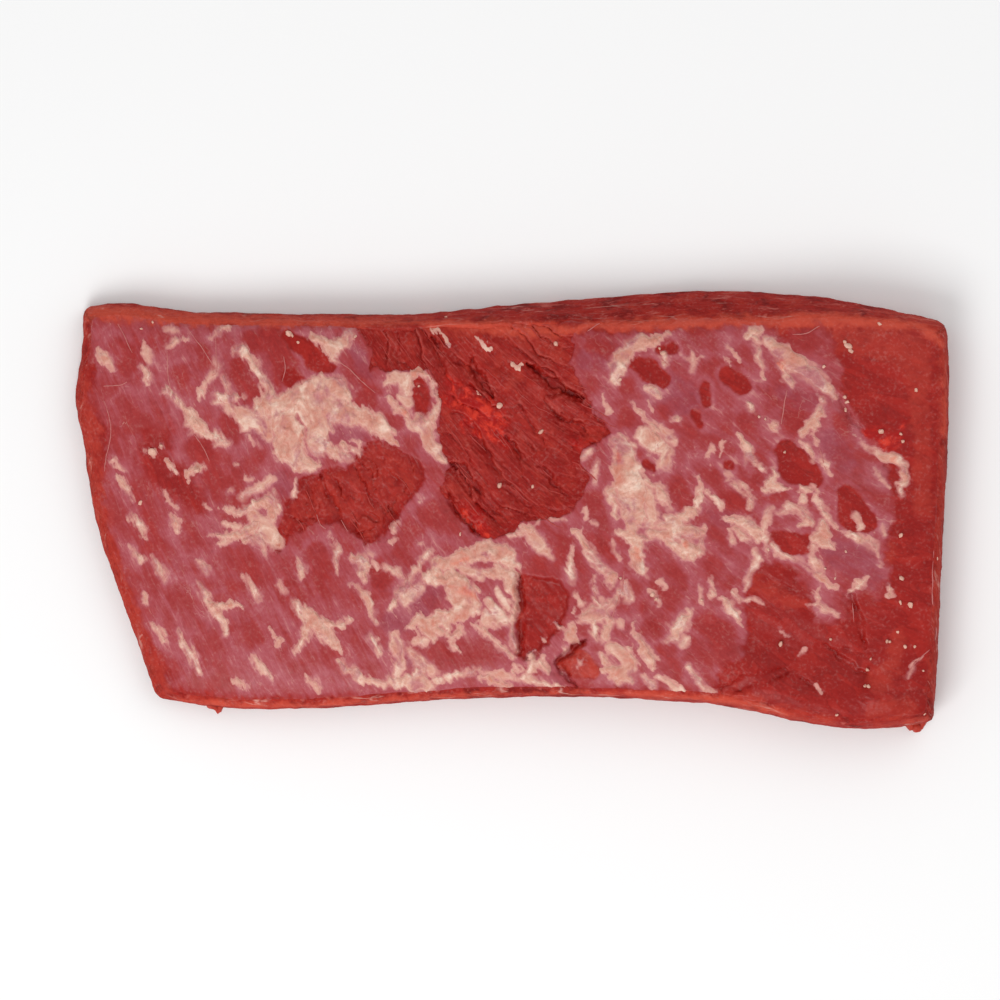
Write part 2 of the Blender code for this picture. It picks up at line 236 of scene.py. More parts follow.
# Fat left on the face, from the thin end to the thick end.
FAT_LEFT = (
    ((-170.5, 66, 0.8), (-167.5, 62, 1.9), (-165, 60, 1.2), (-163.3, 57, 0.5)),
    ((-151.5, 59, 0.7), (-150, 55, 1.8), (-149.3, 52, 1)),
    ((-140.5, 67, 0.8), (-138, 69, 1.5), (-135.5, 70, 0.8)), ((-134.5, 70.5, 0.4), (-133, 70, 0.6)),
    ((-120.5, 73.2, 0.6), (-117.5, 74, 1.2), (-115.5, 75, 0.6)),
    ((-142.8, 48.5, 0.8), (-140.5, 49, 1.7), (-138.3, 46, 1.3), (-135.8, 43, 1.3),
     (-133.2, 40.5, 1.7), (-131.5, 38, 3), (-130.5, 35.5, 3.2), (-127, 33, 2.8), (-125, 32.5, 1.4)),
    ((-133, 35, 1.2), (-130, 32.5, 1.8), (-126, 31.5, 2.2), (-122.5, 31.2, 1.6), (-119.5, 28, 2.4),
     (-117, 26.5, 1.2)), ((-127.5, 45, 0.8), (-127.2, 48, 1), (-127, 49.5, 0.8)),
    ((-118.5, 54, 0.8), (-117, 51, 1.3), (-115.8, 49, 0.8)),
    ((-121.5, 47.5, 1.4), (-119, 45.5, 2.2), (-115.5, 46, 1.9), (-112, 46.8, 1.2), (-110, 46, 0.6)),
    ((-114, 65, 1.2), (-111, 65.8, 2.2), (-109, 64, 2.2), (-106.5, 60.5, 1.6), (-104.5, 57.5, 1.3),
     (-102, 53.5, 1.8), (-100.5, 50, 2), (-99, 46, 3.2)),
    ((-101, 41.5, 4.6), (-97, 42.5, 5), (-92, 42, 5.5), (-86, 46.5, 5), (-80, 49, 6),
     (-74, 50, 5.4), (-70, 47, 4.6)),
    ((-94, 39, 5.5), (-91.5, 32, 6.6), (-91, 25, 6.4), (-87, 20, 4.2), (-82, 17.5, 2.6),
     (-79, 18.5, 1)),
    ((-82, 43, 6.5), (-79, 34, 5.5), (-80, 27, 4), (-75, 25, 2.6), (-71, 22.5, 2), (-66.5, 21.3, 1.5)),
    ((-76, 42, 5.6), (-67, 39, 4.4), (-60, 37.5, 4.2), (-54, 34.5, 3.4), (-50.5, 30.5, 2.6),
     (-47.3, 26.7, 0.8)),
    ((-68.5, 26, 1.2), (-66, 24, 1.1), (-62.5, 23.5, 1.2), (-62.5, 26.5, 0.7), (-65, 28.5, 0.5)),
    ((-83, 71, 0.7), (-79, 69.3, 2.1), (-75.5, 67.5, 2.6), (-71.5, 66, 3.4), (-68.5, 69, 2.5),
     (-66.5, 72, 1.7), (-65.3, 74.5, 0.5)), ((-76, 67, 2), (-73.5, 62.5, 1.6), (-71.5, 60.5, 0.9)),
    ((-53, 46, 0.6), (-50, 45, 1.3), (-47.5, 43, 1.4), (-44.5, 40.5, 1.6), (-42.5, 39, 1.2)),
    ((-149.5, 24.6, 0.9), (-147.5, 23.4, 1.9)), ((-143.8, 25.8, 0.7), (-143.6, 26.2, 0.8)),
    ((-141.2, 20, 1), (-139.8, 17.5, 1.7), (-138.4, 15.5, 0.8)),
    ((-132.8, 15, 1.2), (-129.5, 16.5, 2.2), (-127, 17, 1.6)), ((-133, 11.6, 0.4), (-132.4, 12.4, 0.6)),
    ((-162, 13.5, 0.7), (-160, 11, 1.7), (-157.5, 8, 1.4), (-156, 5.2, 0.6)),
    ((-156.5, -2, 0.7), (-153, -6, 1.5), (-151.5, -9.5, 1.5), (-150.5, -11.8, 0.6)),
    ((-156, -16, 0.9), (-153, -20, 1.5)), ((-139.6, -2, 0.6), (-138, -5.5, 1.7), (-136, -9.2, 0.6)),
    ((-120, 0.5, 0.3), (-112, -1, 1.1), (-108, 0.5, 1.5), (-104, 2, 2.1), (-98, 4, 2.2)),
    ((-98.5, 6, 1.4), (-97.2, 0, 2.3), (-98.2, -4, 1.2), (-96, -8, 0.5)),
    ((-124, -10, 0.4), (-116, -11, 1.6), (-112, -10, 1.8), (-107, -8, 2.7), (-104, -5.5, 1.2)),
    ((-110, -12, 1.5), (-104, -11.5, 2.5), (-102, -14, 1.4), (-101, -18, 0.6)),
    ((-88, -20, 0.8), (-86.3, -24, 2), (-86, -28, 1)),
    ((-65.5, -20, 1.6), (-62, -20.5, 2.7), (-61, -23, 2.6), (-60, -28, 1.5)),
    ((-74.7, -10.5, 0.7), (-73, -13, 0.8), (-71.7, -16, 1.4), (-71.5, -21, 0.9), (-71.5, -25, 0.6)),
    ((-47, -5, 0.8), (-48.4, -8, 1.3)), ((-49.2, -12.3, 1.1), (-48.8, -12.7, 1.2)),
    ((-37.2, 4, 0.7), (-36.8, 4, 0.8)), ((-51.5, -23, 1), (-48, -25, 1.5), (-44, -28, 0.9)),
)
FAT_MIDDLE = (
    ((-41.5, 50, 0.9), (-41.5, 54, 1.3), (-38.5, 56.5, 1.5), (-34.5, 55, 1.4), (-32.5, 51, 1.3),
     (-31, 47, 1.2)), ((-43.5, 37.5, 0.9), (-41, 35, 1.5), (-38.5, 36, 2.2)),
    ((-38, 35.5, 3.4), (-34.5, 33, 3.6), (-34, 28.5, 3), (-32, 25, 2.2), (-29, 22, 1.8),
     (-26.5, 20, 1)), ((-33, 37, 2), (-30.5, 41, 1.4), (-30, 45, 0.9)),
    ((-37, 79, 0.8), (-33.5, 77, 1.6), (-31, 73.5, 1.7), (-29, 71, 1.3), (-26, 67.5, 0.6)),
    ((-15.5, 71, 0.6), (-13, 69.5, 1), (-10.8, 67.3, 2.1), (-8.8, 64.8, 1.2)),
    ((0, 60, 0.8), (2.5, 58.5, 1), (4, 60, 0.6)), ((-14.5, 49, 0.4), (-13.5, 47, 0.9)),
    ((-34, -17, 1), (-37, -21.5, 1.2), (-41, -28, 1.4), (-45, -33.5, 1.7), (-49.5, -40.5, 1.2)),
    ((-31, -22.5, 2.6), (-25, -22, 3.4), (-18, -19, 3.2), (-12, -16.5, 3.8), (-6, -17.5, 4),
     (-2, -19.5, 4.2), (0.5, -22, 2.4)),
    ((-30, -25, 2.2), (-34, -27.5, 2.8), (-30, -29, 3), (-24, -27, 3.4)),
    ((-22, -31, 5.5), (-20, -35, 6.2), (-17.5, -39, 5), (-23, -43.5, 3.4), (-27, -46, 2.4)),
    ((-10, -26, 2.2), (-6, -24.5, 2.6), (-1, -27, 2.6), (0.2, -33, 1.8)),
    ((-10, -37, 1.4), (-6, -41, 2.8), (-4, -45, 3), (-9, -45, 2.6), (-11, -42, 1.2)),
    ((-15, -46.5, 1.8), (-11, -50, 1.7), (-6.5, -54, 1.6), (-2.2, -58.2, 1.2), (1, -61, 0.6)),
    ((1, -27, 1.4), (0.9, -36, 1.4), (0.6, -45, 1.2), (-0.2, -52, 0.9), (1.5, -57, 0.5)),
    ((-29, -43.5, 3), (-33.5, -46.5, 3.4), (-38.5, -45, 2.4), (-41.5, -47.5, 1.5)),
    ((-36.5, -48.5, 2.4), (-32.5, -50.5, 2.8), (-28.5, -49.5, 1.6)),
    ((-25.5, -46.5, 1.3), (-26.5, -50, 1.2), (-24.5, -52.5, 1.3), (-21.5, -50.5, 1.2),
     (-21, -47.5, 0.9)), ((-25, -54, 1), (-23.5, -56.5, 1.3), (-21.5, -58.5, 0.7)),
    ((-50, -70, 1.8), (-46, -71.5, 2.4), (-41, -70.5, 3.6), (-37.5, -70.5, 4.2), (-34.5, -72.5, 3),
     (-35, -75.5, 1)), ((-39, -66.5, 1.6), (-35.5, -65.5, 1.4)),
    ((-32, -70, 1.4), (-25, -68.5, 1.4), (-19, -66.5, 1), (-13, -65, 0.5)),
    ((-13, -68.5, 1), (-9, -69.5, 1.8), (-5, -71.2, 1.8), (-1, -72.5, 1.2)),
    ((3, -69.5, 1.4), (7, -69.3, 1.8), (11, -70.5, 1.6), (16, -71.8, 1.3), (22, -73, 0.7)),
    ((8.5, -58.5, 1.2), (8.5, -61.5, 2), (8.5, -65, 2.4)), ((12, -62, 1.8), (14.5, -65.5, 1.6)),
    ((2, -63.5, 0.9), (3, -66.5, 1.2)), ((0.5, -66, 0.7), (1.5, -70, 1)),
    ((25, -48, 1.6), (24, -51, 2.1), (25.3, -53.5, 1.8), (27, -54.5, 1)),
    ((21.6, -57, 0.9), (22.4, -57, 1)), ((18, -46, 0.6), (20, -48.3, 0.9)),
    ((25, -14.5, 0.3), (23.6, -24, 1.4), (24.2, -28.2, 1.5)),
    ((-1.5, -10.6, 0.6), (3, -9.8, 1.2), (7, -7.2, 1.5), (9.5, -5, 1), (12.5, -3.2, 0.6)),
    ((25, -9, 0.9), (27.5, -8.5, 1.5), (28.5, -12.5, 1.7), (30.5, -16.5, 1.6), (34, -20.5, 1.4),
     (37, -24.5, 1.8), (40.5, -28, 2.3), (41.5, -30, 1)),
    ((29.5, -43.5, 2.6), (33, -43, 3.8), (37.5, -41.5, 3), (41.5, -38.5, 1.7), (44, -34.5, 1.4),
     (46.5, -29.5, 0.6)), ((35.5, -39, 1.2), (34.4, -34.5, 0.9), (33.6, -31, 0.7)),
    ((39.3, -45, 2.2), (38.8, -49, 1.9), (38.2, -52.6, 1.5)), ((34, -49.4, 2.1), (34.3, -51, 1.9)),
    ((37, -60.5, 1.4), (38.2, -63, 1.7)), ((27.7, -62.2, 0.5), (28.5, -61.8, 0.6)),
)
FAT_RIGHT = (
    ((42.5, 54.5, 2.8), (43.5, 59, 3.6), (46, 63, 3.2), (49, 66.5, 3), (54, 68.5, 3),
     (58, 69.5, 2.6), (62, 71, 1.2), (64.5, 72, 0.5)),
    ((55, 49.8, 1.1), (57.5, 48.8, 1.9), (60, 46.5, 1.2)), ((61.8, 63, 1.2), (63.4, 59.5, 0.7)),
    ((45, 19, 4.6), (46, 24, 4.4), (45, 28, 2.4), (41.5, 29, 1.2)),
    ((46.5, 18, 5.6), (48, 13, 6.2), (49, 8, 6.4), (49.5, 3, 6), (50, -3, 4.6), (49, -8, 2.6)),
    ((43.5, 11, 2), (41, 8, 2), (40.3, 4.5, 1.8), (42, 1, 1.2), (43.3, -3, 0.5)),
    ((50, 44, 0.6), (52, 41, 0.8), (54.5, 37, 1.2), (57.5, 33.5, 1.6), (59.5, 30, 1.8),
     (59, 26, 1.5), (57, 24, 1.2)), ((65.8, 36.5, 0.9), (66.6, 37.5, 1.1)),
    ((96.2, 71, 1.2), (98, 72.4, 2.1), (100.8, 72.4, 1.5), (102.4, 73.8, 0.5)),
    ((103.8, 70, 1.3), (106, 68.5, 2.6), (108.5, 66, 3.4), (112, 62.5, 3.9), (117, 59.5, 4.2),
     (121.5, 56, 3.8), (126, 53, 3.2), (129.5, 49.5, 2.2), (131.8, 45.5, 0.6)),
    ((110.5, 59, 2.2), (112.6, 55, 2.2), (113.8, 51.5, 1.2), (114.2, 49.5, 0.4)),
    ((98.5, 71, 1), (101, 67.5, 1), (101, 63, 0.8), (102.2, 58, 0.7), (103, 53.5, 0.3)),
    ((107.2, 34, 1.9), (107.8, 34, 2)), ((96.6, 43.2, 1.1), (97.6, 42.6, 1.5)),
    ((126.4, 46, 0.5), (126.2, 42, 1.2), (125.8, 38.5, 2.2), (123, 35.5, 2.1), (120.5, 32.5, 1.6),
     (117.8, 30.3, 1.1)), ((123, 34, 1.4), (124, 30.5, 0.9), (124.5, 27.5, 0.5)),
    ((118, 28, 0.5), (119.5, 26.5, 1.2), (122, 23.5, 1.2), (124, 20.5, 0.6)),
    ((126.7, 20.5, 0.8), (128.2, 18, 1.1)),
    ((141.8, 30, 0.7), (145, 26.5, 0.8), (148.5, 24.2, 0.9), (152, 21.5, 1.6), (156.5, 21.2, 2.3),
     (159.5, 19, 2.1), (160.6, 15.5, 2), (160.4, 11.5, 1.7), (158.5, 9, 1), (160, 6, 0.4)),
    ((43.2, -9.5, 1), (47.5, -11, 2.4), (51.5, -12.5, 3), (50.5, -16.5, 3), (51.5, -21.5, 3.6),
     (52.5, -24.5, 2.4)), ((51, -11, 1.5), (54.5, -11.5, 1.7), (57.8, -12.2, 0.7)),
    ((58.5, 10, 1.2), (61, 7, 2.1), (63.2, 3.2, 1.7), (65, 0, 0.8)), ((55, 12, 1.8), (58, 9.5, 1.6)),
    ((59.5, -6.5, 1.4), (64, -6, 2.8), (68.5, -4.5, 2.8), (72.5, -1.5, 2.3), (76, 1.8, 2),
     (77.8, 5.5, 1.5), (76.8, 9.5, 1.1), (75.5, 13.5, 0.5)),
    ((79.5, 8, 0.8), (82, 5, 1.4), (84, 2.4, 1.5), (86.5, 0.5, 0.7)),
    ((57, -10, 1.6), (62, -10, 2.6), (67, -9.5, 3.4), (72, -9, 3.2), (76.5, -9, 1.8), (78.5, -7, 1)),
    ((70.5, -13, 2.4), (73, -16, 4), (76, -16.5, 2.6), (78, -12, 1.2)),
    ((64, -13, 1.8), (68, -16, 2.4), (70.5, -19, 1.6)),
    ((88.5, 15, 0.6), (90.8, 11.5, 1), (94.5, 8.3, 1.1), (97.6, 5.8, 1.2), (98.3, 3, 1.3),
     (96.6, 0.8, 0.8)),
    ((92.8, 30.5, 0.8), (94.8, 28, 1.2), (96.5, 24.5, 1.9), (97.4, 21.3, 2.1), (99, 19.2, 1)),
    ((107, 16.5, 0.6), (107.2, 13.5, 1.6), (105.8, 10.3, 2.4), (103.6, 7.8, 1.5)),
    ((106, 10.8, 2), (109.5, 10, 1.5), (112.4, 9.4, 0.9), (114.2, 9.2, 0.4)),
    ((102, 17.5, 0.8), (104.5, 16.2, 0.6)),
    ((108.5, -2, 0.5), (111, 0, 1), (114.5, 1.4, 1.5), (117.8, 0.2, 1.8), (120.3, -3, 1.6),
     (121.2, -5.5, 1.4), (117.5, -6.6, 0.7)),
    ((116, 1.5, 1.1), (118.8, 4, 1.2), (119.8, 7.5, 1), (117.5, 9.2, 0.8)),
    ((117.5, 8.6, 0.9), (123, 8.6, 0.8)),
    ((124.2, 8, 0.9), (124.8, 4.5, 1.5), (126.5, 1, 1.9), (128.6, -3, 1.5), (131.2, -6, 1),
     (134.5, -8.2, 0.5)),
    ((127.5, -5, 1.8), (127.2, -9, 3.2), (125.2, -11.5, 3), (127.8, -13.5, 2.2), (131.5, -15.2, 0.9)),
    ((124, -14.5, 1.4), (122, -18.5, 1), (123.8, -22.5, 1.7), (126, -26.5, 1.3), (127.2, -29.2, 0.7)),
    ((106.5, -15, 0.6), (109, -17.7, 1.1), (112, -19.6, 1.2), (116, -20.2, 0.9), (118.5, -22, 0.9),
     (121.5, -24.2, 0.8)),
    ((86, -3, 0.7), (90, -4, 1.6), (94.5, -4.5, 2.2), (97.5, -7, 2.6), (100, -10, 2),
     (101.5, -12.5, 1.1)), ((91, -8, 1.1), (94.5, -11, 1.6), (97.5, -12, 1)),
    ((88.5, -9, 0.6), (90.5, -13, 0.9)),
    ((135, -8, 0.6), (139, -10.2, 0.9), (143, -12, 1.4), (147, -13.6, 1.7), (149.5, -17.5, 1),
     (151.2, -22, 0.7)),
    ((41.5, -56.5, 2.8), (45, -59.5, 3.6), (48, -63, 3.8), (45, -67.5, 3.4), (41, -66, 2.6),
     (37.5, -66, 1.4)), ((45, -69, 2.4), (49.2, -70, 1.4)),
    ((51, -51.5, 1.2), (52.5, -54, 2.2), (54.5, -58, 2.4), (57.5, -61.5, 2.6), (58.5, -64, 1.2)),
    ((54.5, -68, 1.2), (58, -71, 1.3)),
    ((60, -68, 0.7), (64, -71, 1.3), (68, -73, 1.4), (71, -75, 0.7)),
    ((73, -64, 0.7), (74, -67.5, 1.1), (77, -71.3, 1.3), (80, -74.5, 1.2), (82.5, -74.8, 0.6)),
    ((73.2, -42, 0.9), (70.5, -44.6, 2.4), (69, -47.6, 3), (66.8, -51.4, 2.6), (63.2, -54.4, 0.8)),
    ((56.8, -33.6, 1), (58.6, -36.2, 1.3), (60, -37.4, 0.6)), ((82, -29, 0.9), (83, -34, 1.2)),
    ((85.5, -36.5, 1.3), (88, -39, 2.2), (90, -41.4, 2.2), (92, -44.6, 1.4), (94.4, -47.6, 0.4)),
    ((91, -34, 0.8), (93.6, -36.8, 0.9), (98, -37.6, 0.9), (103, -38.2, 0.4)),
    ((121, -38.5, 0.5), (124.5, -39.2, 1.1), (128, -41, 1.5), (131, -41.8, 1), (133.5, -43.2, 0.4)),
    ((125, -36, 0.7), (125.2, -31.5, 0.9)),
    ((126.8, -28.8, 0.9), (130, -30.8, 1.1), (133.2, -32.2, 0.6)),
    ((138, -33.5, 1), (140, -32, 1.7), (143, -29.6, 1.7), (144.6, -27.6, 0.9)),
    ((153.8, -30.6, 0.7), (155, -34.4, 0.9)),
)
# A thin white film of connective tissue, painted into the silverskin.
PALE_FILM = (
    ((-151.5, 70, 0.6), (-150, 65, 1.8), (-148, 61, 1.6)),
    ((-141.5, 75, 1), (-138, 73.4, 1.4), (-136, 73, 0.6)), ((-124.5, 70, 0.4), (-121, 72.4, 0.6)),
    ((-122, 62, 0.8), (-120.5, 58, 1.4), (-123, 55, 1.6), (-125.8, 51.5, 1.4), (-127, 49, 0.9)),
    ((-118.5, 54.5, 1), (-116, 49, 1.2)),
    ((-121, 44, 1.4), (-116, 43, 2.4), (-111.5, 38, 2), (-109, 33, 1.6)),
    ((-112, 40, 2.6), (-107, 37, 4.5), (-102, 35, 4), (-99, 30, 2.6)),
    ((-108, 30, 0.8), (-106.5, 27, 0.9)),
    ((-52, 51, 1.2), (-49, 54, 3), (-44.5, 54, 3.2), (-43, 48, 2.6)), ((-46, 47, 1.6), (-43, 44, 2.6)),
    ((-164, 20, 1.4), (-160, 17, 1.4)), ((-142.5, 7, 0.8), (-141, 3.5, 1.2), (-138, 1, 0.7)),
    ((-126.5, 2.5, 0.7), (-123.5, 0, 0.9)),
    ((-110.5, 5, 1.2), (-107, 8, 1.8), (-103, 9.5, 2.2), (-99, 12.5, 2.2)),
    ((-119.5, -14, 1.2), (-114.5, -12, 1.5)), ((-118.5, -6, 1.2), (-112, -7, 1.8)),
    ((-106, -2, 3), (-100, -9, 4.5), (-96, -14, 3)), ((-88, 12, 0.8), (-89, 6, 1.6)),
    ((-109.2, 13.6, 0.9), (-106.4, 12.8, 0.8)), ((-113.4, 18.6, 0.6), (-112.4, 18.2, 0.7)),
    ((-115.4, 7.4, 0.7), (-114.6, 7.6, 0.8)), ((-59, -17.5, 0.8), (-57, -18.6, 1)),
    ((-58, -21, 0.9), (-55, -24.2, 1)), ((-37.5, -13.5, 0.6), (-36.5, -13.7, 0.7)),
    ((74, 64, 0.9), (74.6, 60.5, 1.6), (73.2, 56.5, 0.9)),
    ((71, 62, 0.3), (74.6, 60.5, 1), (78, 62.5, 0.4)),
    ((88, 67, 0.7), (91, 63.5, 1.1), (93.4, 60.5, 0.7)), ((86, 62, 0.4), (89.5, 59, 0.7)),
    ((55.5, 44.5, 0.5), (57.2, 40.6, 1)), ((54, 30, 4), (63, 24, 3.4), (62, 18, 2.6)),
    ((61, 33, 2), (66, 28, 2)), ((53, 10, 3), (57, 2, 3), (57, -6, 2.5)),
    ((35, 19.5, 1), (34.3, 15, 1.6), (34, 11, 0.9)), ((29, 21.6, 1.5), (32, 24, 1.4)),
    ((30, 0.6, 1.1), (30.2, -3.2, 1.2)), ((33, -4.8, 0.9), (35, -6.2, 0.9)),
    ((6.5, -8, 2.4), (11, -13, 3.2), (15, -17.5, 1.8), (17, -20, 0.7)),
    ((12.5, -3.2, 0.5), (18, -4.2, 0.5), (22, -3.2, 0.4)), ((34, -27, 0.7), (33.4, -29.4, 0.9)),
    ((41, -13, 0.6), (42.6, -16.6, 1.1), (44.2, -20, 1)), ((88, 13.2, 0.8), (88.2, 13.4, 0.8)),
    ((79.6, 21.6, 1), (82.4, 25.4, 1.4)), ((85, 22, 0.6), (86.5, 27.5, 1)),
    ((93, -9.6, 0.8), (96, -12.2, 1.2)),
    ((99, -16, 0.9), (100.4, -20.6, 1.4), (97.4, -25.6, 1.2), (95, -33, 0.8)),
    ((102, -12, 0.6), (105, -16.2, 0.7)), ((105, 0, 1.6), (103, -8, 2), (104, -14, 1.2)),
    ((152, -6, 0.7), (152.2, -10.4, 1)), ((126.6, 20.4, 0.9), (130.2, 14.6, 0.9)),
    ((149, 16.4, 0.6), (151, 12, 0.9), (154, 9.6, 0.7)), ((141, -2, 1.4), (142.5, -8, 1.6)),
    ((-48, -51, 2.4), (-47, -57, 3.4), (-45.2, -62, 2.2), (-47, -67, 2.2)),
    ((-42, -57, 1.4), (-38, -62, 2.4), (-33, -66, 2.4), (-30, -67.4, 1)),
    ((-40, -54, 2.2), (-34, -54, 1.8)), ((-20, -24, 2.6), (-12, -27, 2.2)),
    ((-6, -33, 2), (-2, -40, 1.6)), ((-44, -36, 3), (-38, -32, 2.4)),
    ((-12, -66.5, 1), (-4, -67.4, 2.4), (0, -69, 1.6)), ((24.6, -41.2, 0.9), (25.4, -40.8, 0.9)),
    ((12.6, -53, 0.9), (13.6, -53.2, 1)), ((29, -38, 1.6), (26, -35, 1)),
    ((46, -30, 2.2), (48, -36, 2.2)), ((44, -46, 1.6), (44.6, -47, 1.6)),
    ((50, -46, 0.6), (50, -51, 0.7)), ((70, -54, 2.4), (71.4, -52, 1.6)),
    ((60, -29, 1.4), (63, -32, 1.2)), ((77, -31, 0.8), (77.6, -38, 1)),
    ((168, -60, 0.3), (164.5, -63.5, 0.6), (162, -69, 0.5)), ((40, 40, 1), (37, 47, 1)),
    ((118, -60, 0.4), (120, -57, 0.8)), ((110, -50, 0.6), (113, -52, 0.7)),
    ((124, -72, 1.2), (127, -74.6, 0.8)),
)
# Fat on the near side of the thin end.
FAT_NEAR = (
    ((-129, -31, 0.8), (-124, -37, 1.6), (-121, -41, 2.6), (-118, -47, 1.7), (-117, -51, 0.6)),
    ((-121, -40, 1.8), (-115, -38.5, 1.3), (-111, -39.5, 0.6)),
    ((-89, -38, 1), (-84, -43, 3), (-79, -48, 3.8), (-74, -53, 2.2), (-70, -58, 0.9)),
    ((-83, -45, 2.6), (-85, -52, 2), (-89, -58, 0.9)),
    ((-77, -47, 2), (-70, -47, 1.2), (-66, -45, 0.5)),
    ((-66, -30, 0.8), (-60, -35, 1.9), (-57, -42, 1.2), (-56, -46, 0.5)),
    ((-147, -19, 0.7), (-144, -25, 1.5), (-142, -29, 0.7)),
    ((-137, -50, 0.7), (-132, -58, 1.8), (-130, -64, 1.4), (-127, -68, 0.6)),
    ((-106, -60, 0.8), (-102, -66, 1.9), (-98, -69, 1)),
    ((-110, -27, 0.6), (-105, -34, 1.4), (-103, -38, 0.6)),
    ((-70, -62, 0.9), (-64, -68, 2.2), (-57, -71, 1.8), (-51, -71.5, 1.2)),
    ((-99, -49, 0.6), (-95, -55, 1.3)), ((-147, -46, 0.6), (-143, -54, 1.2)),
    ((-151, -34, 0.8), (-150, -38, 1.2)), ((-114, -70, 0.8), (-110, -73, 1.4)),
    ((-84, -68, 0.7), (-80, -73, 1.5)), ((-58, -52, 0.8), (-54, -58, 1.5)),
    ((-128, -20, 0.6), (-125, -25, 1.1)), ((-95, -30, 0.6), (-93, -33, 1)),
)
ALL_FAT = FAT_LEFT + FAT_MIDDLE + FAT_RIGHT + FAT_NEAR
# Loose crumbs of fat: (x, y, radius).
CRUMBS = (
    (-152, 74.3, 0.8), (-147.5, 77, 0.7), (-9, 78.3, 0.8), (-24, 76.5, 0.8), (-27, 79, 0.7),
    (-38, 50.7, 0.8), (-5, 42.7, 1.3), (-5, 10, 1.3), (0.5, 59.5, 1.3), (12, 32, 1.4), (8.5, 9.5, 0.9),
    (18, 68, 1.2), (62, 64, 1.1), (60.5, 66, 0.8), (44, 53, 0.8), (101, 38, 0.7), (103.5, 37, 0.7),
    (137.5, 67, 1.6), (136.2, 68.5, 1), (138.5, 65, 1), (127.5, 58.5, 0.8), (136, 46, 0.9),
    (137, 44, 0.8), (136.5, 41, 1), (150.5, 76, 0.8), (151, 32, 1.3), (160, 28, 0.8), (159, 31, 0.8),
    (-152.5, 2.8, 0.9), (163, -39, 1.4), (159, -38, 0.8), (153.5, -53.8, 1), (154.6, -54, 0.8),
    (147, -61, 0.9), (145.5, -65.5, 0.8), (146, -72.3, 1), (144.6, -72.1, 0.8), (168.5, -66, 0.7),
    (169, -83.5, 0.8), (165, -56, 0.8), (161, -56, 0.7), (158, -50, 0.7), (130.5, -53, 0.8),
    (110, -55, 1.1), (133, -84, 1), (159, -10.5, 1), (159.5, -28, 1.3), (128, -24, 0.7),
    (132, -28, 0.7), (136.5, -17, 0.6), (174, -20, 1), (165.5, 49, 0.8), (-91.5, 72.3, 1.4),
    (-90, 71.4, 1), (-87.6, 68.6, 0.8), (-147.6, 23.6, 1.9), (-143.9, 26.3, 0.9), (-129.2, 16.4, 1.6),
    (111.5, 23.6, 0.9), (57.5, -34.8, 1.3), (59, -36.6, 1), (77.5, -37, 0.9), (44.5, -28, 0.7),
    (104.8, -16.3, 0.7), (-21, -10, 0.6), (-64, 71, 0.7),
)
# Shreds of muscle that hang on the near edge: (x, y) from one end to the other, then their half width.
SHREDS = (
    (((157, -78), (162, -84), (165.5, -90.5)), 4.4), (((164, -78), (166, -85), (167.5, -91.5)), 4.4),
    (((171, -80), (170, -86), (168.8, -90.5)), 3),
    (((-128, -77), (-123.5, -80.5), (-120.6, -83.6)), 2.6),
    (((-119, -77), (-120, -80.5), (-120.8, -83.2)), 2.6),
)
# Thin white threads of connective tissue: (x, y) from one end to the other, then their half width.
THREADS = (
    (((-161.8, 76.4), (-158.3, 69.5), (-155.7, 64.2)), 0.30),
    (((-141.3, 64.9), (-141, 55), (-140, 49.8)), 0.35),
    (((-121.6, 71.4), (-121, 57), (-123, 55)), 0.30),
    (((-132.8, 74), (-127.5, 66.8), (-122.3, 59)), 0.28),
    (((-167.5, 50.8), (-160.3, 51.2), (-157.7, 52.5)), 0.30),
    (((-167.5, 44.6), (-165.6, 39.3), (-164.9, 30.8), (-166.9, 21), (-167.5, 15.8)), 0.30),
    (((-93.5, 62.9), (-92.8, 58.3), (-94.1, 52.4)), 0.32),
    (((-72, 62), (-66, 57), (-62, 53), (-56, 48)), 0.32), (((31, 73), (36, 76.5)), 0.35),
    (((61, 62), (64, 59)), 0.30), (((-80, -2), (-78.5, -6), (-76, -8)), 0.30),
    (((-70, -4), (-67, -9)), 0.30), (((112.5, 49), (111.5, 44), (110.5, 38), (110, 35)), 0.42),
    (((115, 72), (120, 72), (126, 75)), 0.35), (((139.5, -38), (140, -46)), 0.32),
    (((175.5, -4), (174, -8), (172.6, -18), (172.4, -35), (173, -45), (174, -50), (172.8, -62),
     (172, -75)), 0.38), (((172, -57), (168, -60), (164.5, -63.5), (163, -66), (162, -69)), 0.30),
    (((-44, -26), (-41, -31), (-38, -33)), 0.32),
    (((46, -25), (45, -33), (42.5, -40), (40.5, -45)), 0.40),
    (((33, -26), (33.4, -33), (36, -39)), 0.34), (((125, 26), (127, 21), (128.5, 16)), 0.26),
    (((-131, 32), (-127, 26), (-124, 20)), 0.3),
)


# ---------------------------------------------------------------- fields over the upper face

def noise(points, seed):
    """Smooth random values, about -0.7 to 0.7, that change over one unit; 2 or 3 columns."""
    random = np.random.default_rng(seed)
    order = random.permutation(256)
    slopes = random.normal(size=(256, points.shape[1]))
    slopes /= np.linalg.norm(slopes, axis=1)[:, None]
    cell = np.floor(points).astype(int)
    part = points - cell
    fade = part * part * part * (part * (part * 6 - 15) + 10)
    total = np.zeros(len(points))
    for corner in itertools.product((0, 1), repeat=points.shape[1]):
        index = np.zeros(len(points), int)
        weight = np.ones(len(points))
        for axis, step in enumerate(corner):
            index = order[(index + cell[:, axis] + step) & 255]
            weight *= fade[:, axis] if step else 1 - fade[:, axis]
        total += weight * ((part - np.array(corner)) * slopes[index]).sum(axis=1)
    return total


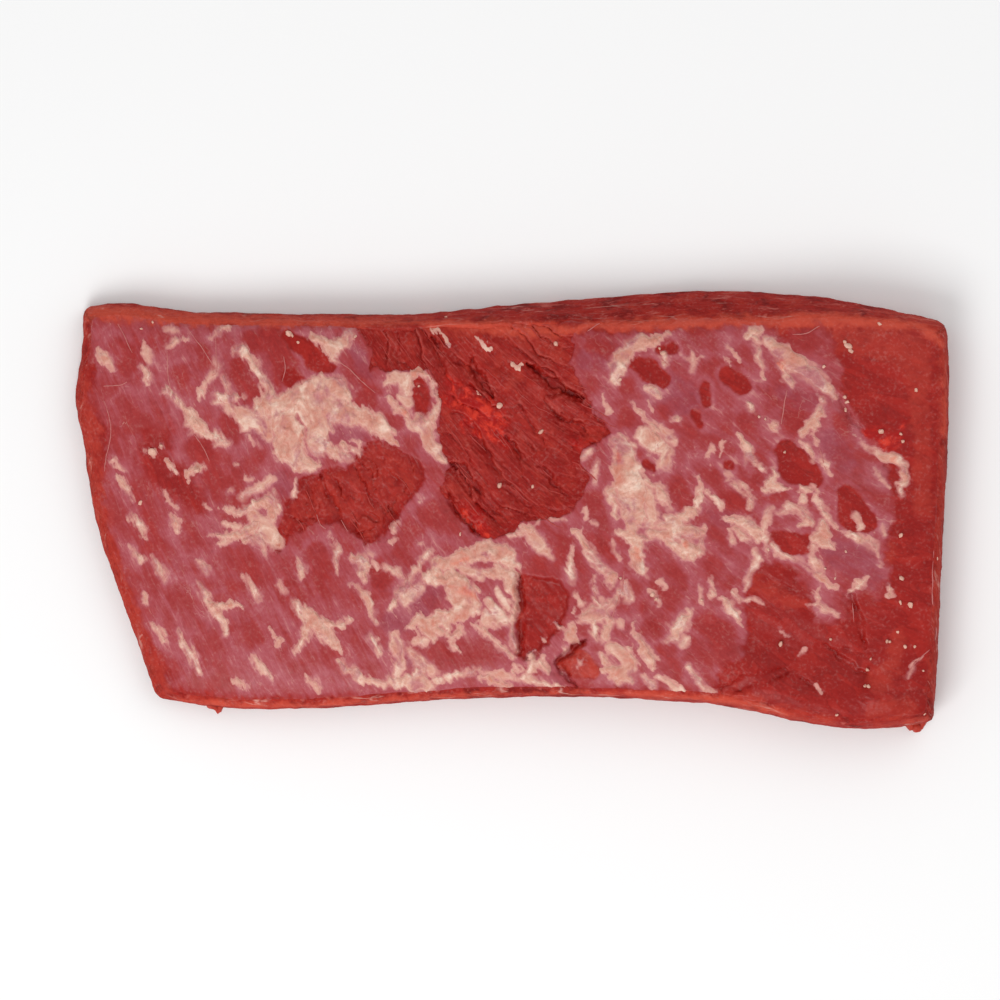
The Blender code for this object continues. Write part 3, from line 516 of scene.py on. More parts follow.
def fractal(points, size, seed, octaves=3):
    """Noise of one lump size with finer and fainter noise on it."""
    total = np.zeros(len(points))
    for octave in range(octaves):
        total += 0.5 ** octave * noise(points * (2 ** octave / size), seed + octave)
    return total


def step_between(low, high, value):
    """0 below low, 1 above high and smooth between them."""
    part = np.clip((value - low) / (high - low), 0, 1)
    return part * part * (3 - 2 * part)


def warped(plan, size, reach, seed):
    """Points moved about at random, so that an outline drawn through them turns ragged."""
    moved = plan.copy()
    moved[:, 0] += reach * fractal(plan, size, seed)
    moved[:, 1] += reach * fractal(plan, size, seed + 50)
    return moved


def stroke_depth(plan, strokes):
    """How far each point is inside the nearest stroke: negative outside it."""
    depth = np.full(len(plan), -99.0)
    for stroke in strokes:
        for start, end in zip(stroke, stroke[1:]):
            run = np.array(end[:2], float) - start[:2]
            reach = max(start[2], end[2]) + 12
            low = np.minimum(start[:2], end[:2]) - reach
            high = np.maximum(start[:2], end[:2]) + reach
            near = np.nonzero(((plan > low) & (plan < high)).all(axis=1))[0]
            away = plan[near] - start[:2]
            part = np.clip(away @ run / (run @ run), 0, 1)
            distance = np.linalg.norm(away - part[:, None] * run, axis=1)
            width = start[2] + part * (end[2] - start[2])
            depth[near] = np.maximum(depth[near], width - distance)
    return depth


def outline_depth(plan, outline):
    """How far each point is inside a closed outline: negative outside it."""
    distance = np.full(len(plan), 1e9)
    inside = np.zeros(len(plan), bool)
    for start, end in zip(outline, outline[1:] + outline[:1]):
        start = np.array(start, float)
        run = np.array(end, float) - start
        away = plan - start
        part = np.clip(away @ run / (run @ run), 0, 1)
        distance = np.minimum(distance, np.linalg.norm(away - part[:, None] * run, axis=1))
        if run[1]:
            crossing = (away[:, 1] >= 0) != (away[:, 1] - run[1] >= 0)
            inside ^= crossing & (away[:, 0] < away[:, 1] * run[0] / run[1])
    return np.where(inside, distance, -distance)


# Fibres run down to the right with this slope, which turns by this much for each millimetre of x.
FIBRE_SLOPE, FIBRE_TURN = 1.36, 0.0052
TORN_SLOPE, TORN_TURN = 0.956, 0.0122
# Lump size, reach and seed of the ways in which edges are made ragged.
RAGGED = (7.0, 2.2, 11)
FRAYED = (1.8, 0.7, 21)
LOBED = (6.0, 2.5, 221)
HAZE_REACH = 4.0        # the pale haze round fat and film fades over this distance
# How far outside a clear place and a bare place their pale rims lie, and how wide they are.
WINDOW_RIM = (2.2, 1.5)
BARE_RIM = (1.1, 0.9)
# How far inside its strokes or its outline each thing begins, and where it is full.
BORDERS = {
    "opening": (-0.7, 0.7), "skin": (-1.6, 1.6), "bare": (-0.5, 0.5), "worn": (-2.5, 3.0),
    "thin": (-3.5, 3.0), "window": (-2.2, 1.8), "rough": (0.0, 4.0), "shelf": (0.0, 3.0),
    "torn": (0.0, 5.0), "bright": (-2.5, 2.5), "plum": (-2.5, 3.0), "blood": (-3.5, 4.5),
    "edge": (-4.5, 3.0), "crest": (-3.0, 2.2),
}


def fibre_place(plan):
    """Place across and along the muscle fibres, which run down to the right."""
    x, y = plan[:, 0], plan[:, 1]
    across = y + FIBRE_SLOPE * x - FIBRE_TURN / 2 * x * x
    along = 0.6 * x - 0.8 * y
    return np.stack((across, along), axis=1)


def fibre_noise(plan, width, length, seed, octaves=2):
    """Noise drawn out along the fibres."""
    return fractal(fibre_place(plan) / (width, length), 1.0, seed, octaves)


def torn_place(plan):
    """Place across and along the fibres of the laid-open muscle, which fan out to the right."""
    x, y = plan[:, 0], plan[:, 1]
    across = y + TORN_SLOPE * x - TORN_TURN / 2 * x * x
    along = 0.7 * x - 0.7 * y
    return np.stack((across, along), axis=1)


def film_field(plan):
    """How far each point is inside the white film, whose edges are frayed."""
    ragged = warped(plan, size=5.0, reach=1.5, seed=41)
    return stroke_depth(warped(ragged, size=1.8, reach=0.5, seed=43), PALE_FILM)


def fat_field(plan, strokes):
    """How far each point is inside the fat, whose edges are ragged and drawn out along the fibres."""
    ragged = warped(warped(plan, size=6.0, reach=1.7, seed=201), size=2.0, reach=0.6, seed=203)
    inside = stroke_depth(ragged, strokes)
    torn_edge = 1.1 * fibre_noise(plan, width=5.0, length=6.0, seed=207)
    torn_edge += 1.3 * fibre_noise(plan, width=2.3, length=8.0, seed=209)
    return inside + torn_edge * step_between(-4.0, -0.5, inside)


def bordered(name, depth):
    """A depth inside something as 0 outside its soft border and 1 inside it."""
    return step_between(*BORDERS[name], depth)


def pale_rim(depth, outside, width):
    """1 on a pale rim that lies outside something, and 0 away from it."""
    return np.exp(-((depth + outside) / width) ** 2)


def fields(plan):
    """All that is painted on the upper face, by name, from 0 to 1 unless noted."""
    ragged = warped(plan, *RAGGED)
    fine = warped(ragged, *FRAYED)
    torn = outline_depth(fine, TORN)
    rough = outline_depth(fine, ROUGH)
    shelf = outline_depth(ragged, SHELF)
    skin = outline_depth(fine, SILVERSKIN) + 2.5 * fibre_noise(plan, width=4.0, length=7.0, seed=39)
    bare = stroke_depth(warped(plan, size=5.0, reach=1.0, seed=15), BARE_SPOTS)
    worn = stroke_depth(fine, WORN_SKIN) + 2.0 * fibre_noise(plan, width=5.0, length=9.0, seed=45)
    thin = stroke_depth(ragged, THIN_SKIN) + 3.0 * fibre_noise(plan, width=5.0, length=14.0, seed=35)
    windows = stroke_depth(ragged, WINDOWS)
    blood = stroke_depth(fine, FRESH_BLOOD) + 2.5 * fibre_noise(plan, width=5.0, length=6.0, seed=33)
    made = {"torn": torn, "rough": rough, "shelf": shelf}

    cover = bordered("opening", -np.maximum.reduce((torn, rough, shelf)))
    cover *= bordered("skin", skin)
    cover *= 1 - bordered("bare", bare)
    cover *= 1 - 0.85 * bordered("worn", worn)
    made["membrane"] = cover
    streaks = fibre_noise(plan, width=9.0, length=18.0, seed=31, octaves=3)
    thinning = bordered("thin", thin)
    seen = bordered("window", windows)
    made["veil"] = cover * np.clip(0.97 + 0.22 * streaks - 0.27 * thinning - 0.09 * seen, 0, 1)

    white = np.maximum(stroke_depth(plan, PALE_FILM), stroke_depth(plan, ALL_FAT))
    around = np.exp(np.minimum(white, 0) / HAZE_REACH)
    window_rim = pale_rim(windows, *WINDOW_RIM)
    bare_rim = pale_rim(bare, *BARE_RIM)
    lumps = fractal(plan, size=13.0, seed=37)
    haze = 0.1 + 0.5 * around + 0.4 * bare_rim + 0.22 * window_rim + 0.7 * lumps
    made["haze"] = np.clip(haze + 0.08 - 0.28 * seen - 0.2 * thinning, -0.5, 1.5)

    fresh = np.maximum(0.75 * bordered("rough", rough), 0.3 * bordered("shelf", shelf))
    fresh = np.maximum(fresh, 0.6 * bordered("torn", torn))
    made["bright"] = np.maximum(fresh, bordered("bright", stroke_depth(ragged, BRIGHT_MUSCLE)))
    made["plum"] = cover * bordered("plum", stroke_depth(ragged, PLUM_SPOTS))
    made["blood"] = bordered("blood", blood)
    # The rim colour is partly painted light; the line along the top of the cut edges is a painted
    # highlight.
    made["edge"] = bordered("edge", stroke_depth(ragged, RIM_MUSCLE))
    made["crest"] = bordered("crest", stroke_depth(fine, BRIGHT_CREST))
    made["film"] = np.maximum(film_field(plan) - 0.3, fat_field(plan, ALL_FAT))
    return made


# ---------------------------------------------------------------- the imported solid's upper face

SAMPLE_STEP = 2.0
SAMPLE_REACH = (186.0, 96.0)
INNER_ROUNDS = 12


def spread_into_gaps(grid):
    """Fill the empty rim of a grid from its filled neighbours, row by row outwards."""
    while np.isnan(grid).any():
        padded = np.pad(grid, 1, constant_values=np.nan)
        shifts = (padded[:-2, 1:-1], padded[2:, 1:-1], padded[1:-1, :-2], padded[1:-1, 2:])
        known = np.stack(shifts)
        count = (~np.isnan(known)).sum(axis=0)
        filled = np.nansum(known, axis=0) / np.maximum(count, 1)
        grid = np.where(np.isnan(grid) & (count > 0), filled, grid)
    return grid


def softened(grid, rounds):
    """Blur a grid a little, keeping its rim."""
    for _ in range(rounds):
        padded = np.pad(grid, 1, mode="edge")
        across = (padded[1:-1, :-2] + 2 * padded[1:-1, 1:-1] + padded[1:-1, 2:]) / 4
        padded = np.pad(across, 1, mode="edge")
        grid = (padded[:-2, 1:-1] + 2 * padded[1:-1, 1:-1] + padded[2:, 1:-1]) / 4
    return grid


def sample_upper_face():
    """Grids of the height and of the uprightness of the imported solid's upper face."""
    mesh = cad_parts[BRISKET].data
    mesh.calc_loop_triangles()
    points = [vert.co for vert in mesh.vertices]
    corners = [tuple(triangle.vertices) for triangle in mesh.loop_triangles]
    tree = BVHTree.FromPolygons(points, corners)
    xs = np.arange(-SAMPLE_REACH[0], SAMPLE_REACH[0] + 0.1, SAMPLE_STEP)
    ys = np.arange(-SAMPLE_REACH[1], SAMPLE_REACH[1] + 0.1, SAMPLE_STEP)
    height = np.full((len(ys), len(xs)), np.nan)
    upright = np.zeros_like(height)
    down = Vector((0, 0, -1))
    for row, y in enumerate(ys):
        for column, x in enumerate(xs):
            hit, normal, _, _ = tree.ray_cast(Vector((x * MM, y * MM, 1.0)), down)
            if hit is not None:
                height[row, column] = hit.z / MM
                upright[row, column] = abs(normal.z)
    return softened(spread_into_gaps(height), 1), softened(upright, 2)


# A height for each place, how upright the surface is there, and the same well away from the rim.
HEIGHT_GRID, UPRIGHT_GRID = sample_upper_face()
INNER_GRID = softened(UPRIGHT_GRID, INNER_ROUNDS)


def read_grid(grid, plan):
    """Values of a grid between its points, with no kinks."""
    place = (plan + SAMPLE_REACH) / SAMPLE_STEP
    cell = np.floor(place).astype(int)
    part = place - cell
    total = np.zeros(len(plan))
    weights = []
    for axis in (0, 1):
        t = part[:, axis]
        weights.append(((-t + 2 * t ** 2 - t ** 3) / 2, (2 - 5 * t ** 2 + 3 * t ** 3) / 2,
                        (t + 4 * t ** 2 - 3 * t ** 3) / 2, (t ** 3 - t ** 2) / 2))
    rows, columns = grid.shape
    for down in range(4):
        row = np.clip(cell[:, 1] + down - 1, 0, rows - 1)
        for over in range(4):
            column = np.clip(cell[:, 0] + over - 1, 0, columns - 1)
            total += weights[0][over] * weights[1][down] * grid[row, column]
    return total


# ---------------------------------------------------------------- relief of the upper face

# Grooves torn along the fibres: (x, y, half width), then their depth.
GROOVES = (
    (((-49, 67, 0.8), (-46, 61, 1.2), (-42, 58.5, 0.5)), 1.4),
    (((-33, 71, 0.5), (-28, 65, 1.5), (-24, 61.5, 1.8), (-19, 59.5, 0.6)), 2.4),
    (((-16, 62, 0.6), (-15, 57, 2), (-12, 52, 2), (-8, 46, 0.8)), 3),
    (((6, 60, 0.5), (12, 56, 1.5), (18, 52, 1.9), (24, 48, 1.5), (30, 45.5, 0.5)), 3.2),
    (((15, 41, 0.4), (22, 37.5, 1.3), (27, 34, 1.7), (31, 30, 1.2), (34, 27, 0.6)), 2.8),
    (((32, 43, 0.5), (36, 37, 1.2), (40, 32.5, 0.8)), 1.8),
    (((-25, 19, 0.7), (-20, 17, 2), (-15, 9.5, 1.6), (-9, 2, 1.2), (-3, -4, 0.4)), 3),
    (((-26, 6, 0.6), (-24, 2.5, 2.2), (-19, -4, 1.4), (-14, -10, 0.8)), 2.8),
    (((-20, 38, 0.5), (-14, 29, 1), (-7, 21, 0.8), (2, 12, 0.4)), 1.6),
    (((-2, 30, 0.5), (5, 21, 1.2), (12, 15, 0.8), (18, 10, 0.4)), 1.9),
    (((8, 22, 0.4), (16, 13, 1), (23, 5.5, 0.8)), 1.8),
    (((2, 43, 0.4), (10, 33, 0.9), (14, 27, 0.4)), 1.4),
    (((-4, 38, 0.4), (3, 32, 1), (10, 24, 0.4)), 1.5),
    (((-6, 12, 0.4), (0, 7, 1), (8, 0, 0.4)), 1.3),
    (((-86, 15, 0.6), (-83, 9, 1.2), (-81, 2, 1), (-79, -5, 0.4)), 1.5),
    (((-79, 14, 0.5), (-76, 8, 1.2), (-73, 3, 1.1), (-70, -2, 0.4)), 1.5),
    (((-70, 12, 0.4), (-65, 8, 0.9), (-60, 6, 0.4)), 1.2),
    (((-57, 8, 0.4), (-53, 3, 1), (-49, -1, 1), (-45, -4, 0.4)), 1.5),
    (((-66, 20, 0.4), (-63, 15, 0.9), (-61, 11, 0.4)), 1),
    (((-64, -5, 0.4), (-58, -9, 0.8), (-52, -12, 0.4)), 1),
    (((-50, 16, 0.4), (-46, 10, 0.8), (-42, 6, 0.4)), 0.9),
    (((133, 47, 0.5), (138, 39, 1.1), (142, 34, 1), (144.5, 28, 0.5)), 1.5),
    (((138.5, -34, 0.6), (140.5, -40, 1), (143, -47, 1.3), (144.5, -56, 0.5)), 1.8),
    (((128, -54, 0.5), (134, -60, 1), (140, -65, 1.4), (145, -67, 0.6)), 1.9),
    (((118, -69, 0.4), (123, -72, 1), (128, -75, 0.4)), 1.4),
    (((136, -56, 0.4), (144, -58, 0.8), (148, -58, 0.3)), 0.9),
    (((88, -74, 2.5), (94, -71, 2.5), (102, -69, 2.5), (112, -66, 1.5)), 1.8),
    (((100, -24, 0.5), (108, -30, 1.4), (116, -34, 0.6)), 1),
    (((3.2, -26, 0.5), (3.6, -36, 1.6), (4.2, -50, 1.6), (3, -59, 0.6)), 2.2),
    (((18.3, -63, 1.2), (24, -58, 1.2), (30.5, -52.8, 0.5)), 3.4),
    (((18.3, -63, 1.4), (22, -67.5, 1.5), (26.5, -72, 0.5)), 3.4),
    (((49, -69.5, 0.6), (52, -71.5, 1.2), (58, -73, 0.5)), 1.5),
    (((-150, 27, 0.4), (-147, 22, 0.8), (-144, 16, 0.4)), 0.9),
    (((-138, 14, 0.4), (-133, 10, 1.1), (-128, 4.5, 0.5)), 1.1),
    (((120, 26, 0.4), (122, 22.5, 0.9), (124, 19, 0.3)), 1),
    (((112, 29, 0.4), (116, 26, 1), (120, 24, 0.3)), 1),
    (((152, 18, 1), (155, 16.5, 1)), 1.2), (((-71.5, 73, 0.3), (-71.5, 70.5, 0.8)), 1),
)
# A broad basin in the bare muscle of the thick end.
BASIN = (((98, -54, 5), (112, -60, 9), (128, -64, 9), (141, -66, 5)),)
# Swollen ridges beside the grooves.
RIDGES = (
    (((-10, 57, 2), (-4, 50, 3), (2, 44, 2)), 1), (((10, 52, 2), (20, 45, 3), (28, 40, 2)), 1.2),
    (((-24, 10, 2), (-18, 3, 3), (-13, -4, 2)), 1.1), (((-18, 24, 2), (-8, 12, 3), (0, 2, 2)), 1),
    (((-3, 55, 2.5), (2, 51, 3)), 1.3), (((-34, 66, 2), (-28, 58, 3), (-22, 50, 2)), 0.9),
    (((26, 29, 1.5), (33, 27, 2)), 1), (((24, -62, 2), (30, -65, 4)), 0.8),
    (((0, -28, 1.5), (0.5, -40, 2), (0.5, -54, 1.5)), 1), (((88, -77, 2), (97, -80, 3)), 1.2),
    (((150, 28, 2), (157, 24, 3)), 0.8), (((146, -76, 2), (156, -80, 4)), 0.8),
)
FACE_RISE = 0.15        # the dense upper face lies this far over the body
TORN_DEPTH = 1.5        # how deep the laid-open muscle lies under the silverskin
MEMBRANE_THICKNESS = 0.30
FILM_THICKNESS = 0.25
ROUGH_DEPTH, SHELF_DEPTH, BASIN_DEPTH = 0.45, 1.3, 1.6
SLOPE_SIDE = (1.3, 1.1) # a groove slopes down softly from this side
CLEAN_CUT = 3.3         # grooves deeper than this were cut, so they are not broken


def groove_depth(plan):
    """How deep the torn grooves go, with fibres across them, less the ridges' rise."""
    wandering = warped(warped(plan, size=6.0, reach=1.5, seed=61), size=2.0, reach=0.5, seed=63)
    depth = np.zeros(len(plan))
    broken = np.clip(0.9 + 1.1 * fractal(plan, size=11.0, seed=65, octaves=2), 0.25, 1.3)
    for stroke, full in GROOVES:
        inside = stroke_depth(wandering, (stroke,))
        edge = broken if full < CLEAN_CUT else 1.0
        slope = stroke_depth(wandering + SLOPE_SIDE, (stroke,))
        depth = np.maximum(depth, 0.55 * full * edge * step_between(-1.0, 0.8, inside) ** 1.5
                           + 0.4 * full * edge * step_between(-2.6, 1.0, slope))
    for stroke, full in RIDGES:
        depth -= full * step_between(-3.0, 2.5, stroke_depth(wandering, (stroke,)))
    return depth


def muscle_relief(plan):
    """Bundles of bare muscle fibre, from broad to fine, with small wrinkles."""
    broad = 0.40 * fibre_noise(plan, width=16.0, length=40.0, seed=71, octaves=1)
    bundles = 0.26 * fibre_noise(plan, width=6.0, length=16.0, seed=72)
    wrinkles = 0.16 * fractal(plan * (0.6, 1.0), size=2.6, seed=73, octaves=2)
    return broad + bundles + wrinkles


def shingled(place, width, length, seed):
    """Overlapping strands, each lifted along one side and sloping down to the next, from 0 to 1."""
    wander = fractal(place / (width * 2.2, length * 1.2), 1.0, seed, octaves=2)
    steps = place[:, 0] / width + 1.7 * wander
    strand = np.floor(steps)
    part = steps - strand
    lift = 0.55 + 0.9 * noise(np.stack((strand * 7.31, place[:, 1] / length), axis=1), seed + 9)
    edge = step_between(0.0, 0.16, part) * (1 - 0.85 * part)
    return np.clip(lift, 0.05, 1.2) * edge


def torn_relief(plan):
    """Ragged bundles where the muscle is torn: overlapping strands with finer ones on them."""
    place = torn_place(warped(plan, size=9.0, reach=2.0, seed=81))
    coarse = shingled(place, width=12.0, length=34.0, seed=82)
    middle = shingled(place, width=4.6, length=18.0, seed=84)
    fine = fractal(place / (1.8, 5.0), size=1.0, seed=86)
    return 2.3 * coarse + 0.5 * middle + 0.16 * fine - 0.8


def rough_relief(plan):
    """Wavy plates in the rough patch beside the thick fat."""
    place = fibre_place(warped(plan, size=10.0, reach=3.5, seed=85))
    coarse = shingled(place, width=11.0, length=14.0, seed=87)
    fine = shingled(place, width=5.0, length=9.0, seed=88)
    return 1.9 * coarse + 0.4 * fine - 0.8


def face_relief(plan, made):
    """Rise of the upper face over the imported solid, apart from the torn muscle."""
    skin = made["membrane"]
    rough = step_between(-1.0, 2.5, made["rough"])
    shelf = step_between(-0.5, 1.5, made["shelf"])
    film = step_between(-0.5, 1.5, made["film"])
    pucker = 0.22 * fractal(plan, size=8.0, seed=91)
    pucker += 0.06 * fibre_noise(plan, width=3.6, length=9.0, seed=92)
    film_lumps = fractal(plan, size=2.5, seed=94, octaves=2)
    rise = muscle_relief(plan) * (1 - 0.5 * skin) + pucker * skin
    rise += MEMBRANE_THICKNESS * skin
    rise += rough * (rough_relief(plan) - ROUGH_DEPTH)
    rise -= shelf * (SHELF_DEPTH - 0.6 * fibre_noise(plan, width=6.0, length=20.0, seed=95))
    rise -= BASIN_DEPTH * step_between(-7.0, 6.0, stroke_depth(plan, BASIN))
    rise += FILM_THICKNESS * film * (1 + 1.5 * film_lumps)
    return rise - groove_depth(plan)


# ---------------------------------------------------------------- meshes

SHARP_ANGLE = 50            # edges sharper than this stay sharp, in degrees


def new_object(name, vertices, polygons, material, smooth=True):
    """An object at the origin from arrays of vertices in millimetres and of faces."""
    mesh = bpy.data.meshes.new(name)
    mesh.from_pydata((vertices * MM).tolist(), [], polygons)
    mesh.materials.append(material)
    if smooth:
        mesh.shade_smooth()
    made = bpy.data.objects.new(name, mesh)
    bpy.context.scene.collection.objects.link(made)
    return made


def add_values(mesh, **values):
    """Store named values on a mesh's points, for its material."""
    for name, value in values.items():
        kind = "FLOAT_VECTOR" if value.ndim == 2 else "FLOAT"
        attribute = mesh.attributes.new(name, kind, "POINT")
        key = "vector" if value.ndim == 2 else "value"
        attribute.data.foreach_set(key, np.ascontiguousarray(value, dtype=np.float32).ravel())


def slab(name, wanted, step, low, high, surface, base, material):
    """A closed slab over the wanted cells of a square lattice.

    surface gives the top of each point, base the height of its flat underside."""
    xs = np.arange(low[0], high[0] + step / 2, step)
    ys = np.arange(low[1], high[1] + step / 2, step)
    grid_x, grid_y = np.meshgrid(xs, ys)
    plan = np.stack((grid_x.ravel(), grid_y.ravel()), axis=1)
    columns = len(xs)
    keep = wanted(plan).reshape(grid_x.shape)
    cells = keep[:-1, :-1] & keep[1:, :-1] & keep[:-1, 1:] & keep[1:, 1:]
    rows_at, columns_at = np.nonzero(cells)
    first = rows_at * columns + columns_at
    quads = np.stack((first, first + 1, first + columns + 1, first + columns), axis=1)
    used, place = np.unique(quads, return_inverse=True)
    quads = place.reshape(quads.shape)
    plan = plan[used]
    top = surface(plan)
    edges = np.concatenate([quads[:, [k, (k + 1) % 4]] for k in range(4)])
    key = np.sort(edges, axis=1)
    _, where, count = np.unique(key, axis=0, return_index=True, return_counts=True)
    rim = edges[where[count == 1]]
    rim_points, rim_place = np.unique(rim, return_inverse=True)
    rim_place = rim_place.reshape(rim.shape) + len(plan)
    under = np.column_stack((plan[rim_points], base(plan[rim_points])))
    vertices = np.vstack((np.column_stack((plan, top)), under))
    walls = np.column_stack((rim[:, 1], rim[:, 0], rim_place[:, 0], rim_place[:, 1]))
    made = new_object(name, vertices, quads.tolist() + walls.tolist(), material)
    close_underside(made.data)
    made.data.set_sharp_from_angle(angle=math.radians(SHARP_ANGLE))
    return made


def close_underside(mesh):
    """Fill every open loop of a mesh with triangles."""
    shape = bmesh.new()
    shape.from_mesh(mesh)
    open_edges = [edge for edge in shape.edges if edge.is_boundary]
    filled = bmesh.ops.holes_fill(shape, edges=open_edges, sides=0)
    bmesh.ops.triangulate(shape, faces=filled["faces"])
    shape.to_mesh(mesh)
    shape.free()


# ---------------------------------------------------------------- shared looks

def joined(tree, value, socket):
    """Link a value that comes from another node, and set one that doesn't."""
    if isinstance(value, bpy.types.NodeSocket):
        tree.links.new(value, socket)
    else:
        socket.default_value = value


def add(tree, kind, inputs=None, **settings):
    """A node with its settings, and its inputs as values or links."""
    node = tree.nodes.new(kind)
    for name, value in settings.items():
        setattr(node, name, value)
    for name, value in (inputs or {}).items():
        joined(tree, value, node.inputs[name])
    return node


def maths(tree, operation, first, second=0.0, third=0.0):
    """One number from up to three."""
    return add(tree, "ShaderNodeMath", {0: first, 1: second, 2: third}, operation=operation).outputs[0]


def times(tree, first, second):
    """One number times another."""
    return maths(tree, "MULTIPLY", first, second)


def weighed(tree, value, weight, start=0.0):
    """A number times its weight, on top of another number."""
    return maths(tree, "MULTIPLY_ADD", value, weight, start)


def apart(tree, value, middle):
    """How far a number is from another one."""
    return maths(tree, "ABSOLUTE", maths(tree, "SUBTRACT", value, middle))


def blended(tree, amount, first, second, mode="MIX"):
    """One colour between two, or a multiplied or screened one."""
    inputs = {0: amount, 6: first, 7: second}
    return add(tree, "ShaderNodeMix", inputs, data_type="RGBA", blend_type=mode).outputs[2]


def between(tree, value, low, high, to_low=0.0, to_high=1.0):
    """A number moved smoothly from one range to another, and kept inside it."""
    inputs = {"Value": value, "From Min": low, "From Max": high, "To Min": to_low, "To Max": to_high}
    return add(tree, "ShaderNodeMapRange", inputs, interpolation_type="SMOOTHSTEP").outputs[0]


def tinted(tree, colour, tint, value, low, high, most=1.0):
    """A colour with a tint on it: none of it where value is low, and most where value is high."""
    return blended(tree, between(tree, value, low, high, 0.0, most), colour, tint)


def stored(tree, name, output="Fac"):
    """A value stored on the mesh."""
    return add(tree, "ShaderNodeAttribute", attribute_name=name).outputs[output]


def vectors(tree, operation, first, second):
    """One vector from two."""
    return add(tree, "ShaderNodeVectorMath", {0: first, 1: second}, operation=operation).outputs[0]


def scaled(tree, vector, size):
    """A vector times a number."""
    return add(tree, "ShaderNodeVectorMath", {0: vector, "Scale": size}, operation="SCALE").outputs[0]


def stretched(tree, grain, width, length):
    """Grain coordinates with one bundle of fibres to each unit."""
    size = add(tree, "ShaderNodeCombineXYZ", {"X": width, "Y": length, "Z": width}).outputs[0]
    return vectors(tree, "DIVIDE", grain, size)


def noisy(tree, place, scale=1.0, detail=2.0, roughness=0.5, distortion=0.0):
    """A noise texture, whose outputs are Fac and Color."""
    return add(tree, "ShaderNodeTexNoise", {
        "Vector": place, "Scale": scale, "Detail": detail, "Roughness": roughness,
        "Distortion": distortion}).outputs


def new_group(name, inputs, outputs, kind="ShaderNodeTree"):
    """An empty tree with named inputs, each with its kind and value, and named outputs."""
    tree = bpy.data.node_groups.new(name, kind)
    for label, socket_kind, value in inputs:
        socket = tree.interface.new_socket(label, in_out="INPUT", socket_type=socket_kind)
        if value is not None:
            socket.default_value = value
    for label, socket_kind in outputs:
        tree.interface.new_socket(label, in_out="OUTPUT", socket_type=socket_kind)
    return tree, tree.nodes.new("NodeGroupInput").outputs, tree.nodes.new("NodeGroupOutput")


def returned(tree, result, **outputs):
    """Link what a group makes to its named outputs."""
    for name, value in outputs.items():
        tree.links.new(value, result.inputs[name])
    return tree


def placed(tree, group, **inputs):
    """One of the shared groups, placed in a material or in another group."""
    return add(tree, "ShaderNodeGroup", inputs, node_tree=group).outputs


def cloudy(tree, grain, width, length):
    """The shared clouds in patches of one width and length."""
    return placed(tree, CLOUD, Grain=grain, Width=width, Length=length)["Value"]


NUMBER, COLOUR, VECTOR = "NodeSocketFloat", "NodeSocketColor", "NodeSocketVector"
WHOLE_NUMBER = "NodeSocketInt"
PORE_SIZE = 1.3
NET_BEND = (2.0, 2.0, 0.0)
# What lies on the muscle, stains and painted light alike: its stored value, how ragged it is,
# where its tint starts and is full, how strong it is, and the tint.
STAINS = (
    ("edge", 0.6, 0.2, 1.4, 0.75, EDGE_ORANGE),
    ("bright", 0.5, 0.3, 1.3, 0.5, EDGE_ORANGE),
    ("crest", 0.25, 0.1, 1.2, 0.9, EDGE_GLOW),
    ("blood", 0.35, 0.1, 0.95, 0.92, BLOOD_RED),
)


def cloud_group():
    """Cloudy patches drawn out along the fibres, from about -1 to 1."""
    inputs = (("Grain", VECTOR, None), ("Width", NUMBER, 3.0), ("Length", NUMBER, 6.0))
    tree, given, result = new_group("fibre cloud", inputs, (("Value", NUMBER),))
    place = stretched(tree, given["Grain"], given["Width"], given["Length"])
    fog = noisy(tree, place, detail=4.0, roughness=0.62, distortion=0.5)["Fac"]
    return returned(tree, result, Value=weighed(tree, fog, 4.0, -2.0))


def fibre_group():
    """Bundles of muscle fibre: a shade from 0 to 1, where the painted shade of the creases between them
    lies, and a height.
    """
    inputs = (("Grain", VECTOR, None), ("Width", NUMBER, 3.0), ("Length", NUMBER, 18.0),
              ("Fine", NUMBER, 0.5))
    outputs = (("Shade", NUMBER), ("Crease", NUMBER), ("Height", NUMBER))
    tree, given, result = new_group("muscle fibres", inputs, outputs)
    place = stretched(tree, given["Grain"], given["Width"], given["Length"])
    broad = noisy(tree, place, detail=3.0, roughness=0.55, distortion=0.9)["Fac"]
    thin_width = times(tree, given["Width"], 0.22)
    thin_length = times(tree, given["Length"], 0.35)
    place = stretched(tree, given["Grain"], thin_width, thin_length)
    fine = noisy(tree, place, detail=2.0, roughness=0.6, distortion=0.5)["Fac"]
    mixed = add(tree, "ShaderNodeMix", {0: given["Fine"], 2: broad, 3: fine}).outputs[0]
    crease = between(tree, apart(tree, broad, 0.5), 0.05, 0.0)
    return returned(tree, result, Shade=between(tree, mixed, 0.3, 0.7), Crease=crease, Height=mixed)


def web_group():
    """The fine white net of connective tissue in the silverskin."""
    inputs = (("Grain", VECTOR, None), ("Mesh", NUMBER, 7.0), ("Line", NUMBER, 0.05))
    tree, given, result = new_group("connective net", inputs, (("Net", NUMBER), ("Haze", NUMBER)))
    wide = stretched(tree, given["Grain"], given["Mesh"], times(tree, given["Mesh"], 1.7))
    bend = vectors(tree, "MULTIPLY", noisy(tree, wide, scale=0.9, detail=4.0)["Color"], NET_BEND)
    place = vectors(tree, "ADD", wide, bend)
    edge = add(tree, "ShaderNodeTexVoronoi", {"Vector": place, "Scale": 1.0},
               feature="DISTANCE_TO_EDGE", voronoi_dimensions="2D").outputs["Distance"]
    patchy = between(tree, noisy(tree, wide, scale=0.9, detail=2.0)["Fac"], 0.42, 0.62)
    line = add(tree, "ShaderNodeMapRange", {
        "Value": edge, "From Min": given["Line"], "From Max": 0.0, "To Min": 0.0, "To Max": 1.0}).outputs[0]
    return returned(tree, result, Net=times(tree, line, patchy), Haze=between(tree, edge, 0.3, 0.0))


